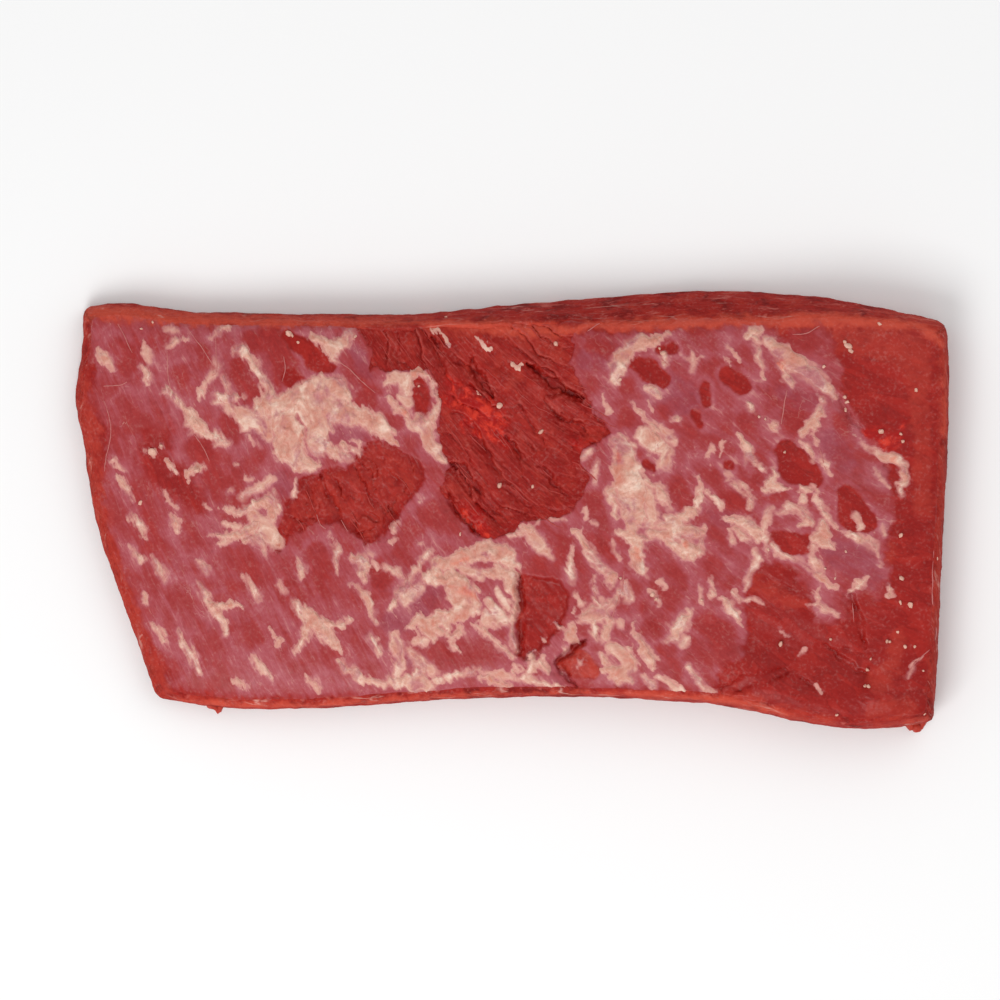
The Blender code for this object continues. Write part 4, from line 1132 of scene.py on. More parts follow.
def pore_group():
    """Fine uneven grain of wet meat: a height, a gloss and a shade from -1 to 1."""
    outputs = (("Height", NUMBER), ("Gloss", NUMBER), ("Shade", NUMBER))
    tree, given, result = new_group("wet grain", (("Size", NUMBER, 1.2),), outputs)
    place = add(tree, "ShaderNodeTexCoord").outputs["Object"]
    scale = maths(tree, "DIVIDE", 1 / MM, given["Size"])
    fine = noisy(tree, place, scale=scale, detail=3.0)["Fac"]
    broad = noisy(tree, place, scale=maths(tree, "DIVIDE", scale, 7.0), detail=3.0)["Fac"]
    shade = weighed(tree, fine, 3.6, weighed(tree, broad, 1.8, -2.7))
    return returned(tree, result, Height=fine, Gloss=broad, Shade=shade)


def fat_group():
    """Fat by how many millimetres inside it a point lies: a haze at its rim, cream further in, with painted
    highlights on its lumps and just inside its edge and painted shade in its low places and folds.
    """
    outputs = (("Colour", COLOUR), ("Cover", NUMBER), ("Height", NUMBER))
    tree, given, result = new_group("fat and film", (("Grain", VECTOR, None), ("Depth", NUMBER, 0.0)),
                                    outputs)
    grain = given["Grain"]
    ragged = cloudy(tree, grain, 5.5, 6.0)
    frayed = cloudy(tree, grain, 1.9, 3.6)
    lumps = cloudy(tree, grain, 14.0, 8.0)
    patches = cloudy(tree, grain, 17.0, 12.0)
    depth = weighed(tree, ragged, 0.7, weighed(tree, frayed, 0.28, given["Depth"]))
    softness = between(tree, patches, -0.5, 0.8, 0.45, 2.2)
    cover = maths(tree, "DIVIDE", maths(tree, "ADD", depth, 0.15), softness)
    cover = between(tree, cover, -1.0, 0.6)
    clear = between(tree, weighed(tree, ragged, 0.4, patches), 0.1, 1.0, 1.0, 0.4)
    folds = noisy(tree, stretched(tree, grain, 15.0, 9.0), detail=3.0, distortion=1.2)["Fac"]
    fold = between(tree, apart(tree, folds, 0.5), 0.02, 0.0)
    cream = tinted(tree, FAT_PINK, FAT_CREAM, lumps, -0.6, 0.5)
    # A painted highlight on the raised lumps.
    cream = tinted(tree, cream, FAT_LIGHT, lumps, 0.1, 0.8, 0.75)
    cream = tinted(tree, cream, FILM_MAUVE, patches, 0.0, 0.8, 0.75)
    # Painted shade in the low places and in the folds.
    cream = tinted(tree, cream, FAT_CREASE, weighed(tree, patches, 0.5, lumps), -0.3, -1.1, 0.5)
    crease = times(tree, fold, between(tree, patches, 0.4, -0.5, 0.05, 0.25))
    cream = blended(tree, crease, cream, FAT_CREASE)
    # A painted highlight just inside the edge of the fat.
    cream = tinted(tree, cream, FAT_LIGHT, apart(tree, depth, 0.9), 0.7, 0.0, 0.22)
    colour = tinted(tree, FILM_PINK, cream, depth, 0.0, 1.3)
    colour = tinted(tree, FILM_MAUVE, colour, depth, -1.4, 0.2)
    height = weighed(tree, lumps, 0.25, weighed(tree, frayed, 0.07, weighed(tree, fold, -0.15, 0.5)))
    return returned(tree, result, Colour=colour, Cover=times(tree, cover, clear), Height=height)


CLOUD = cloud_group()
FIBRES = fibre_group()
NET = web_group()
PORES = pore_group()
FAT = fat_group()


def new_material(name, roughness, specular, glow=0.0, reach=(0.9, 0.3, 0.2)):
    """A wet material: its tree and its Principled shader."""
    material = bpy.data.materials.new(name)
    material.use_nodes = True
    tree = material.node_tree
    shader = tree.nodes["Principled BSDF"]
    shader.inputs["Roughness"].default_value = roughness
    shader.inputs["Specular IOR Level"].default_value = specular
    shader.inputs["Subsurface Weight"].default_value = glow
    shader.inputs["Subsurface Radius"].default_value = reach
    shader.inputs["Subsurface Scale"].default_value = 1.0 * MM
    return material, tree, shader


def bumped(tree, shader, heights):
    """Bumps on top of each other: (height, distance in millimetres) from broad to fine."""
    normal = None
    for height, distance in heights:
        node = add(tree, "ShaderNodeBump", {"Height": height, "Distance": distance * MM, "Strength": 1.0})
        if normal:
            tree.links.new(normal, node.inputs["Normal"])
        normal = node.outputs[0]
    tree.links.new(normal, shader.inputs["Normal"])


def speckled(tree, colour, shade, amount):
    """A colour with painted sheen and glints and the fine dark grain of wet meat on it."""
    # A painted sheen and painted glints, then the dark of the pores.
    pale = between(tree, shade, 0.0, 1.6, 0.0, 0.9 * amount)
    colour = blended(tree, pale, colour, SPECK_PALE, "SCREEN")
    glint = between(tree, shade, 1.5, 1.9, 0.0, 0.25)
    colour = blended(tree, glint, colour, SPECK_GLINT, "SCREEN")
    dark = between(tree, shade, 0.0, -1.2, 0.0, 3.5 * amount)
    return blended(tree, dark, colour, SPECK_DARK, "MULTIPLY")


def wet_gloss(tree, pores, low, high):
    """A roughness between two values that follows the grain of wet meat."""
    return between(tree, pores["Gloss"], 0.3, 0.7, low, high)


def dressed(tree, shader, colour, roughness, heights):
    """Give a shader its colour, its roughness and its bumps."""
    tree.links.new(colour, shader.inputs["Base Color"])
    tree.links.new(roughness, shader.inputs["Roughness"])
    bumped(tree, shader, heights)


def lean_colour(tree, grain, fibres):
    """Bare muscle in dark and bright bundles, with painted shade in the creases between them."""
    patches = cloudy(tree, grain, 22.0, 14.0)
    mixed = weighed(tree, patches, 0.3, weighed(tree, fibres["Shade"], 0.6, 0.2))
    colour = tinted(tree, LEAN_DARK, LEAN_RED, mixed, 0.1, 0.9)
    colour = tinted(tree, colour, LEAN_BRIGHT, mixed, 0.7, 1.15, 0.55)
    return blended(tree, times(tree, fibres["Crease"], 0.3), colour, LEAN_CREVICE)


def stained(tree, grain, colour):
    """Muscle with what is stored on the mesh: its bright places, its edges that are partly painted light,
    the painted highlight along their top, and the fresh blood with its painted highlight.
    """
    ragged = cloudy(tree, grain, 6.0, 5.0)
    for name, share, low, high, most, tint in STAINS:
        stain = weighed(tree, ragged, share, stored(tree, name))
        colour = tinted(tree, colour, tint, stain, low, high, most)
    # The last stain is the blood: where it is thick it gets a painted orange highlight.
    glow = times(tree, between(tree, stain, 0.4, 1.1), between(tree, ragged, -0.3, 0.6))
    return blended(tree, times(tree, glow, 0.75), colour, BLOOD_ORANGE)


def face_material():
    """Silverskin over muscle, bare where it was cut or torn away."""
    material, tree, shader = new_material("silverskin_over_muscle", roughness=0.42, specular=0.2)
    grain = stored(tree, "grain", "Vector")
    fibres = placed(tree, FIBRES, Grain=grain, Width=8.0, Length=16.0, Fine=0.3)
    cells = placed(tree, NET, Grain=grain, Mesh=15.0, Line=0.02)
    net = placed(tree, NET, Grain=grain, Mesh=7.0, Line=0.035)
    streaks = cloudy(tree, grain, 4.2, 13.0)
    clouds = cloudy(tree, grain, 15.0, 15.0)
    silk = cloudy(tree, grain, 1.7, 10.0)
    flecks = cloudy(tree, grain, 2.6, 4.5)
    pores = placed(tree, PORES, Size=PORE_SIZE)
    fat = placed(tree, FAT, Grain=grain, Depth=stored(tree, "film"))
    veil = stored(tree, "veil")
    haze = stored(tree, "haze")

    # The silverskin: rose where it is thin, mauve and pale where it is thick.
    mist = weighed(tree, clouds, 0.25, weighed(tree, streaks, 0.3, weighed(tree, silk, 0.2, haze)))
    mist = weighed(tree, cells["Haze"], 0.2, mist)
    plum = weighed(tree, clouds, 0.35, stored(tree, "plum"))
    tint = tinted(tree, VEIL_ROSE, VEIL_MAUVE, mist, 0.0, 0.85)
    tint = tinted(tree, tint, VEIL_PLUM, plum, 0.2, 1.2, 0.65)
    tint = tinted(tree, tint, VEIL_PALE, mist, 0.65, 1.5, 0.85)
    amount = times(tree, veil, between(tree, mist, -0.3, 0.9, 0.62, 1.0))
    colour = stained(tree, grain, lean_colour(tree, grain, fibres))
    colour = blended(tree, amount, colour, tint)

    # White lines, dashes and flecks of connective tissue in it.
    lines = maths(tree, "MAXIMUM", times(tree, cells["Net"], 0.5), times(tree, net["Net"], 0.35))
    lines = times(tree, lines, times(tree, veil, between(tree, clouds, -0.1, 0.7, 0.1, 1.0)))
    colour = blended(tree, lines, colour, TISSUE_WHITE)
    dashes = between(tree, weighed(tree, haze, 0.6, streaks), 0.7, 1.4, 0.0, 0.6)
    flecks = weighed(tree, haze, 0.7, weighed(tree, clouds, 0.3, flecks))
    flecks = between(tree, flecks, 1.05, 1.45, 0.0, 0.65)
    dashes = times(tree, maths(tree, "MAXIMUM", dashes, flecks), veil)
    colour = blended(tree, dashes, colour, FILM_PINK)

    # Thin fat and film over it, and painted shade in the hollows where there is none.
    colour = blended(tree, fat["Cover"], colour, fat["Colour"])
    shadow = times(tree, stored(tree, "hollow"), maths(tree, "SUBTRACT", 1.0, fat["Cover"]))
    colour = blended(tree, shadow, colour, LEAN_CREVICE)
    colour = speckled(tree, colour, pores["Shade"], 0.1)
    film = times(tree, fat["Cover"], fat["Height"])
    heights = ((fibres["Height"], 0.3), (film, 0.25), (lines, 0.1), (pores["Height"], 0.06))
    dressed(tree, shader, colour, wet_gloss(tree, pores, 0.34, 0.5), heights)
    return material


def flank_look(tree):
    """The cut flanks: their colour with painted shade in its creases, the thin white seams along them and
    their height.
    """
    grain = stored(tree, "flank_grain", "Vector")
    cut = placed(tree, FIBRES, Grain=grain, Width=2.6, Length=13.0, Fine=0.4)
    seams = placed(tree, NET, Grain=stretched(tree, grain, 1.0, 3.2), Mesh=4.5, Line=0.08)
    broken = cloudy(tree, grain, 9.0, 26.0)
    mottle = cloudy(tree, grain, 9.0, 12.0)
    wisps = weighed(tree, broken, 0.4, cloudy(tree, grain, 3.2, 6.0))
    colour = blended(tree, cut["Shade"], FLANK_RED, LEAN_RED)
    # Painted shade in the creases, then dark and bright mottling.
    colour = blended(tree, times(tree, cut["Crease"], 0.4), colour, FLANK_DARK)
    colour = tinted(tree, colour, FLANK_DARK, mottle, 0.0, 0.6, 0.8)
    colour = tinted(tree, colour, LEAN_BRIGHT, mottle, -0.1, -0.7, 0.6)
    colour = tinted(tree, colour, STRAND_PINK, wisps, 0.3, 0.7, 0.8)
    seam = times(tree, seams["Net"], between(tree, broken, 0.0, 0.6))
    return colour, seam, cut["Height"]


def muscle_material(name, width, length, crease, side=False):
    """Bare muscle fibres with painted shade in their creases and hollows: with the cut flanks if side is
    true, else with torn strands that have painted highlights on their ridges.
    """
    material, tree, shader = new_material(name, roughness=0.4, specular=0.16)
    grain = stored(tree, "grain", "Vector")
    fibres = placed(tree, FIBRES, Grain=grain, Width=width, Length=length, Fine=0.4)
    strands = placed(tree, FIBRES, Grain=grain, Width=width * 0.36, Length=length * 0.7, Fine=0.35)
    pores = placed(tree, PORES, Size=PORE_SIZE)
    heights = [(fibres["Height"], 0.4), (strands["Height"], 0.2), (pores["Height"], 0.07)]
    roughness = wet_gloss(tree, pores, 0.36, 0.52)
    colour = lean_colour(tree, grain, fibres)
    # Painted shade in the creases between the strands.
    colour = blended(tree, times(tree, strands["Crease"], crease), colour, LEAN_CREVICE)
    colour = tinted(tree, colour, STRAND_PINK, strands["Shade"], 0.55, 1.0, 0.4)
    if side:
        flank, seam, height = flank_look(tree)
        on_flank = stored(tree, "flank")
        colour = stained(tree, grain, blended(tree, on_flank, colour, flank))
        seam = times(tree, times(tree, seam, on_flank), 0.75)
        colour = blended(tree, seam, colour, TISSUE_WHITE)
        heights.insert(1, (height, 0.9))
        roughness = maths(tree, "MAXIMUM", roughness, times(tree, on_flank, 0.85))
    else:
        colour = stained(tree, grain, colour)
        # Painted highlights on the raised strands and the ridges of the torn relief.
        swell = weighed(tree, strands["Shade"], 0.35, stored(tree, "swell"))
        colour = tinted(tree, colour, STRAND_RED, swell, 0.2, 1.2, 0.65)
        crest = weighed(tree, strands["Shade"], 0.5, stored(tree, "ridge"))
        colour = tinted(tree, colour, STRAND_PINK, crest, 0.75, 1.4, 0.55)
    # Painted shade in the hollows.
    colour = blended(tree, stored(tree, "hollow"), colour, LEAN_CREVICE)
    dressed(tree, shader, speckled(tree, colour, pores["Shade"], 0.1), roughness, heights)
    return material


def fat_material():
    """Cream fat, pinker where it is thin, with orange painted shade in its folds."""
    material, tree, shader = new_material("beef_fat", roughness=0.42, specular=0.25, glow=0.05,
                                          reach=(1.0, 0.5, 0.35))
    fat = placed(tree, FAT, Grain=stored(tree, "grain", "Vector"), Depth=stored(tree, "film"))
    pores = placed(tree, PORES, Size=PORE_SIZE)
    colour = blended(tree, fat["Cover"], VEIL_MAUVE, fat["Colour"])
    # Painted shade in the folds.
    colour = blended(tree, stored(tree, "fold"), colour, FAT_CREASE)
    colour = tinted(tree, colour, FAT_STAIN, stored(tree, "stain"), 0.1, 1.2, 0.7)
    colour = speckled(tree, colour, pores["Shade"], 0.07)
    heights = ((fat["Height"], 0.25), (pores["Height"], 0.05))
    dressed(tree, shader, colour, wet_gloss(tree, pores, 0.36, 0.5), heights)
    return material


FACE_LOOK = face_material()
BODY_LOOK = muscle_material("lean_beef_cut", 3.2, 12.0, 0.3, side=True)
TORN_LOOK = muscle_material("torn_muscle", 6.0, 18.0, 0.28)
FAT_LOOK = fat_material()


# ---------------------------------------------------------------- one body of lean beef

BODY_CELL = 1.2
RIM_LOW, RIM_HIGH = 0.58, 0.76              # the upper face begins and is full at this uprightness
MERGE_REACH = 1e-6                          # points closer than this are one, in metres
SKIN_ROUNDS = 8
TINY = 1e-9                                 # keeps a level surface from dividing by nothing
FLANK_BUNDLE = (3.0, 15.0, 15.0)            # size of the bundles of fibre on the flanks
UNDER_FACE, UNDER_TORN = 0.4, 2.2           # how far the body lies under the face, and more in the tear
INNER_FACE, INNER_TORN = 2.2, 2.5           # and how much deeper it lies away from the rim


def rim_weight(plan):
    """1 on the upper face and 0 on the flanks."""
    return step_between(RIM_LOW, RIM_HIGH, read_grid(UPRIGHT_GRID, plan))


def even_skin(name):
    """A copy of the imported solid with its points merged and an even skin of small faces."""
    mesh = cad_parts[BRISKET].data.copy()
    shape = bmesh.new()
    shape.from_mesh(mesh)
    bmesh.ops.remove_doubles(shape, verts=shape.verts, dist=MERGE_REACH)
    shape.to_mesh(mesh)
    shape.free()
    made = bpy.data.objects.new(name, mesh)
    bpy.context.scene.collection.objects.link(made)
    remesh = made.modifiers.new("even skin", "REMESH")
    remesh.mode = "VOXEL"
    remesh.voxel_size = BODY_CELL * MM
    ease = made.modifiers.new("ease", "SMOOTH")
    ease.iterations = SKIN_ROUNDS
    return settled(made)


def settled(made):
    """Turn what an object's modifiers make into its plain mesh."""
    graph = bpy.context.evaluated_depsgraph_get()
    mesh = bpy.data.meshes.new_from_object(made.evaluated_get(graph), depsgraph=graph)
    made.modifiers.clear()
    made.data = mesh
    mesh.name = made.name
    return made


def read_points(mesh):
    """Places and outward normals of a mesh's points."""
    places = np.empty(len(mesh.vertices) * 3)
    normals = np.empty(len(mesh.vertices) * 3)
    mesh.vertices.foreach_get("co", places)
    mesh.vertex_normals.foreach_get("vector", normals)
    return places.reshape(-1, 3) / MM, normals.reshape(-1, 3)


def grain_of_flanks(places, normals):
    """Grain coordinates on the flanks, whose fibres run round the piece and slope a little."""
    x, y, z = places.T
    level = np.hypot(normals[:, 0], normals[:, 1] + TINY)
    flat_side = step_between(0.75, 0.4, np.abs(normals[:, 1]) / level)
    return np.column_stack((z * 0.9 - 0.5 * y, x + 0.9 * y * flat_side, y * 0.3))


def lean_body():
    """The cut piece itself: rough flanks, a flat underside and the broad relief of its top."""
    made = even_skin("lean_body")
    mesh = made.data
    places, normals = read_points(mesh)
    plan = places[:, :2]
    tilt = np.abs(normals[:, 2])
    upward = step_between(0.25, 0.75, normals[:, 2])
    upright = read_grid(UPRIGHT_GRID, plan)
    flank_grain = grain_of_flanks(places, normals)
    lumps = fractal(places, size=7.0, seed=101)
    bundles = fractal(flank_grain / FLANK_BUNDLE, size=1.0, seed=105)
    rough = 0.6 * lumps + 0.45 * bundles
    places = places + normals * (step_between(0.9, 0.5, tilt) * (rough - 0.15))[:, None]

    # Under the fine pieces the body keeps out of sight, deeper under the tear and away from the rim.
    inner = step_between(0.92, 0.97, read_grid(INNER_GRID, plan))
    torn = outline_depth(plan, TORN)
    found = fields(plan)
    grooves = groove_depth(plan)
    under = UNDER_FACE + UNDER_TORN * step_between(-4.0, 1.0, torn)
    under *= step_between(RIM_HIGH - 0.04, RIM_HIGH + 0.14, upright)
    hidden = INNER_FACE + INNER_TORN * step_between(-3.0, 2.0, torn) + np.maximum(grooves, 0)
    relief = np.minimum(face_relief(plan, found), UNDER_FACE)
    places[:, 2] += upward * (rim_weight(plan) * relief - under - inner * hidden)
    places[:, 2] = np.maximum(places[:, 2], 0.0)
    mesh.vertices.foreach_set("co", (places * MM).ravel())
    mesh.update()

    # The bright rim, which is partly painted light, and the painted highlight along its top reach only a
    # little way down the flanks; the highlight lies only where the surface faces up, and the grooves get
    # painted shade.
    drop = read_grid(HEIGHT_GRID, plan) - places[:, 2]
    high = 1 - step_between(2.0, 6.5, drop + 2.0 * fractal(places, size=9.0, seed=107, octaves=2))
    facing_up = step_between(0.0, 0.5, normals[:, 2])
    add_values(mesh, grain=np.column_stack((fibre_place(plan), places[:, 2])), flank_grain=flank_grain,
               flank=step_between(0.9, 0.75, tilt), bright=found["bright"] * upward,
               edge=found["edge"] * high, crest=found["crest"] * high * facing_up,
               blood=np.zeros(len(plan)), hollow=0.5 * step_between(0.5, 3.0, grooves) * upward)
    mesh.materials.clear()
    mesh.materials.append(BODY_LOOK)
    mesh.shade_smooth()
    return made


# ---------------------------------------------------------------- the upper face in fine detail

FACE_STEP = 0.5
TORN_STEP = 0.36
FAT_STEP = 0.4
FACE_CUTS = (-186.0, -62.0, 60.0, 186.0)
FACE_NAMES = ("silverskin_thin_end", "silverskin_middle", "silverskin_thick_end")
FACE_SIDE = 92.0
TORN_REACH = ((-68.0, -16.0), (44.0, 92.0))
FACE_RIM, FAT_RIM = 0.55, 0.6               # the face and the fat end where they tilt more than this
FACE_SHADOW, TORN_SHADOW = 0.5, 0.75        # how dark their hollows are
TORN_SQUEEZE = (1.3, 1.0)                   # the torn fibres are narrower by this much
# Painted shade in hollows and painted highlights on ridges are measured against these easings.
NEAR_ROUNDS, MIDDLE_ROUNDS, BROAD_ROUNDS = 4, 14, 30    # hollows and ridges stand out from so much easing
SUNK = 0.9              # where a fine face ends, it dips this far under the body
SLAB_BASE = 5.5         # and its flat underside lies this far below the upper face


def face_height(plan):
    """Height of the silverskin and the bare muscle beside it."""
    made = fields(plan)
    rim = rim_weight(plan)
    height = read_grid(HEIGHT_GRID, plan) + rim * (FACE_RISE + face_relief(plan, made)) - SUNK * (1 - rim)
    return height - 3.0 * step_between(0.0, 1.3, made["torn"])


def torn_height(plan):
    """Height of the laid-open muscle."""
    torn = outline_depth(warped(warped(plan, *RAGGED), *FRAYED), TORN)
    rim = rim_weight(plan)
    inside = step_between(-1.0, 7.0, torn)
    depth = 0.15 + TORN_DEPTH * inside
    ragged = torn_relief(plan) * (0.25 + 0.75 * inside)
    height = read_grid(HEIGHT_GRID, plan) - SUNK * (1 - rim)
    return height + rim * (FACE_RISE - depth + ragged - groove_depth(plan))


def open_height(plan):
    """Height of whatever is uppermost."""
    return np.maximum(face_height(plan), torn_height(plan))


def base_height(plan):
    """Height of a fine face's flat underside."""
    height = read_grid(HEIGHT_GRID, plan)
    return np.maximum(height - SLAB_BASE, 0.35 * height)


def quads_of(mesh, points):
    """The faces of four corners whose points are all among the first ones."""
    corners = np.array([tuple(face.vertices) for face in mesh.polygons if len(face.vertices) == 4])
    return corners[(corners < points).all(axis=1)]


def eased(values, quads, rounds):
    """Values averaged over neighbouring faces, round after round."""
    count = np.bincount(quads.ravel(), minlength=len(values))
    for _ in range(rounds):
        middle = values[quads].mean(axis=1)
        values = np.bincount(quads.ravel(), np.repeat(middle, 4), len(values)) / np.maximum(count, 1)
    return values


def paint_face(made, torn=False):
    """Store on a fine face what its material lays over the muscle."""
    places, _ = read_points(made.data)
    plan, height = places[:, :2], places[:, 2]
    top = height > base_height(plan) + 0.5
    quads = quads_of(made.data, int(top.sum()))
    near = eased(height, quads, NEAR_ROUNDS)
    broad = eased(height, quads, BROAD_ROUNDS)
    found = fields(plan)
    values = {name: found[name] for name in ("blood", "edge", "crest")}
    values["bright"] = found["bright"] * (1 - found["veil"])
    # Painted shade in the hollows of the relief, and in the broad basin.
    hollow = 0.9 * step_between(0.25, 1.5, broad - height) + 0.4 * step_between(0.05, 0.4, near - height)
    hollow *= top * step_between(0.8, 1.0, rim_weight(plan))
    basin = stroke_depth(warped(plan, size=9.0, reach=4.0, seed=97), BASIN)
    hollow += 0.35 * step_between(-4.0, 6.0, basin) * top
    if torn:
        middle = eased(height, quads, MIDDLE_ROUNDS)
        hollow += 0.4 * step_between(0.1, 0.7, middle - height) * top
        # Painted highlights on the ridges and the raised strands.
        values["ridge"] = step_between(0.03, 0.35, height - near) * top
        values["swell"] = step_between(0.05, 0.6, height - middle) * top
        run = torn_place(plan) * TORN_SQUEEZE
    else:
        values.update({name: found[name] for name in ("veil", "haze", "plum", "film")})
        run = fibre_place(plan)
    values["grain"] = np.column_stack((run, height))
    values["hollow"] = np.clip(hollow, 0, 1) * (TORN_SHADOW if torn else FACE_SHADOW)
    add_values(made.data, **values)
    return made


def face_wanted(plan):
    """Where the silverskin and the bare muscle beside it lie: up to a little way into the tear."""
    return (read_grid(UPRIGHT_GRID, plan) > FACE_RIM) & (outline_depth(plan, TORN) < 5.0)


def torn_wanted(plan):
    """Where the laid-open muscle lies: up to a little way under the silverskin."""
    return (read_grid(UPRIGHT_GRID, plan) > FACE_RIM) & (outline_depth(plan, TORN) > -4.0)


def face_pieces():
    """The upper face in three pieces, each a closed slab set into the body."""
    made = []
    for name, left, right in zip(FACE_NAMES, FACE_CUTS, FACE_CUTS[1:]):
        low, high = (left, -FACE_SIDE), (right, FACE_SIDE)
        piece = slab(name, face_wanted, FACE_STEP, low, high, face_height, base_height, FACE_LOOK)
        made.append(paint_face(piece))
    return made


def torn_piece():
    """The muscle laid open in the middle of the face."""
    piece = slab("torn_muscle", torn_wanted, TORN_STEP, *TORN_REACH, torn_height, base_height, TORN_LOOK)
    return paint_face(piece, torn=True)


# ---------------------------------------------------------------- fat

FAT_MARGIN = 10
FAT_SUNK = 2.5          # fat reaches this far down into the face


def fat_folds(plan):
    """Thin folds between the lobes of the fat: 1 in a fold."""
    return step_between(0.07, 0.0, np.abs(fractal(warped(plan, *LOBED), size=6.0, seed=217)))


def fat_rise(plan, inside):
    """How thick the fat lies: soft lobes with folds between them and a thin edge."""
    bent = warped(plan, *LOBED)
    body = 0.2 * step_between(0.0, 2.2, inside) + 0.12 * np.clip(inside, 0, 6.0)
    lobes = 1.5 * fractal(bent, size=8.0, seed=211, octaves=2)
    lobes += 0.1 * fractal(bent, size=2.6, seed=213, octaves=2)
    flaps = 0.35 * shingled(bent, width=8.0, length=12.0, seed=215)
    rise = body + step_between(0.6, 4.2, inside) * (lobes + flaps - 0.25 * fat_folds(plan))
    return rise - 0.7 * step_between(0.6, -0.5, inside)


def fat_piece(name, strokes):
    """One closed piece for the fat of one part of the face."""
    points = np.array([point[:2] for stroke in strokes for point in stroke])
    low = np.floor(points.min(axis=0)) - FAT_MARGIN
    high = np.ceil(points.max(axis=0)) + FAT_MARGIN

    def wanted(plan):
        return (fat_field(plan, strokes) > -0.6) & (read_grid(UPRIGHT_GRID, plan) > FAT_RIM)

    def surface(plan):
        return open_height(plan) + fat_rise(plan, fat_field(plan, strokes))

    def base(plan):
        return open_height(plan) - FAT_SUNK

    made = slab(name, wanted, FAT_STEP, low, high, surface, base, FAT_LOOK)
    places, _ = read_points(made.data)
    plan = places[:, :2]
    inside = fat_field(plan, strokes)
    blood = step_between(-1.5, 2.5, stroke_depth(plan, FRESH_BLOOD))
    stain = step_between(-2.2, 1.6, stroke_depth(warped(plan, size=3.0, reach=1.5, seed=231), FAT_STAINS))
    add_values(made.data, grain=np.column_stack((fibre_place(plan), places[:, 2])), film=inside,
               fold=0.16 * fat_folds(plan) * step_between(0.8, 2.5, inside),
               stain=np.maximum(0.8 * blood, 0.8 * stain))
    return made


# ---------------------------------------------------------------- crumbs, threads and loose strands

CRUMB_SEED = 5
CRUMB_SIDES = 2             # how finely a crumb's ball is divided
CRUMB_LUMPS = 0.9           # how far a crumb's surface is pushed about
CRUMB_SMALLEST, CRUMB_LARGEST = (0.8, 0.6, 0.5), (1.4, 1.0, 0.8)
NO_TURN, FULL_TURN = (0.0, 0.0, 0.0), (6.3, 6.3, 6.3)
NOISE_MIDDLE = (0.5, 0.5, 0.5)
THREAD_SIDES = 6
THREAD_STEP = 0.8
THREAD_SHARE = 0.65         # how much of its stroke's width a thread fills
STRAND_SEED = 71
STRAND_COUNT = 45
STRAND_REACH = ((-90, -16), (40, 78))
STRAND_MARGIN = 1.5         # strands start this far inside a torn place
SHRED_HEIGHT, SHRED_PLACE = 7.0, -80.0


def growing_tree(name, *inputs):
    """An empty geometry tree that takes geometry, a few named inputs and a material."""
    inputs = (("Geometry", "NodeSocketGeometry"), *inputs, ("Material", "NodeSocketMaterial"))
    return new_group(name, [(*item, None) for item in inputs], inputs[:1], "GeometryNodeTree")


def random_vector(tree, low, high, seed):
    """A random vector for each point."""
    return add(tree, "FunctionNodeRandomValue", {0: low, 1: high, "Seed": seed},
               data_type="FLOAT_VECTOR").outputs[0]


def handed_over(tree, result, geometry, material):
    """Give geometry its material and return it from its tree."""
    inputs = {"Geometry": geometry, "Material": material}
    return returned(tree, result, Geometry=add(tree, "GeometryNodeSetMaterial", inputs).outputs[0])


def stored_size(tree):
    """The size stored on each point."""
    return add(tree, "GeometryNodeInputNamedAttribute", {"Name": "size"}, data_type="FLOAT").outputs[0]


def crumb_tree():
    """An uneven crumb on each point, as large as the point's stored size."""
    tree, given, result = growing_tree("fat crumbs", ("Unevenness", NUMBER), ("Seed", WHOLE_NUMBER))
    points = add(tree, "GeometryNodeMeshToPoints", {0: given["Geometry"]}).outputs[0]
    ball = add(tree, "GeometryNodeMeshIcoSphere", {"Radius": MM, "Subdivisions": CRUMB_SIDES}).outputs[0]
    turn = random_vector(tree, NO_TURN, FULL_TURN, given["Seed"])
    flatten = random_vector(tree, CRUMB_SMALLEST, CRUMB_LARGEST, given["Seed"])
    scale = scaled(tree, flatten, stored_size(tree))
    crumbs = add(tree, "GeometryNodeInstanceOnPoints",
                 {"Points": points, "Instance": ball, "Rotation": turn, "Scale": scale}).outputs[0]
    real = add(tree, "GeometryNodeRealizeInstances", {"Geometry": crumbs}).outputs[0]
    lumps = add(tree, "ShaderNodeTexNoise", {"Scale": 1 / MM, "Detail": 1.0}).outputs["Color"]
    offset = scaled(tree, vectors(tree, "SUBTRACT", lumps, NOISE_MIDDLE), given["Unevenness"])
    uneven = add(tree, "GeometryNodeSetPosition", {"Geometry": real, "Offset": offset}).outputs[0]
    return handed_over(tree, result, uneven, given["Material"])


def thread_tree():
    """A round thread along every edge, as thick as the stored half width."""
    tree, given, result = growing_tree("threads", ("Sides", WHOLE_NUMBER))
    curves = add(tree, "GeometryNodeMeshToCurve", {"Mesh": given["Geometry"]}).outputs[0]
    ring = add(tree, "GeometryNodeCurvePrimitiveCircle",
               {"Resolution": given["Sides"], "Radius": MM}).outputs[0]
    swept = add(tree, "GeometryNodeCurveToMesh", {
        "Curve": curves, "Profile Curve": ring, "Scale": stored_size(tree), "Fill Caps": True}).outputs[0]
    real = add(tree, "GeometryNodeRealizeInstances", {"Geometry": swept}).outputs[0]
    return handed_over(tree, result, real, given["Material"])


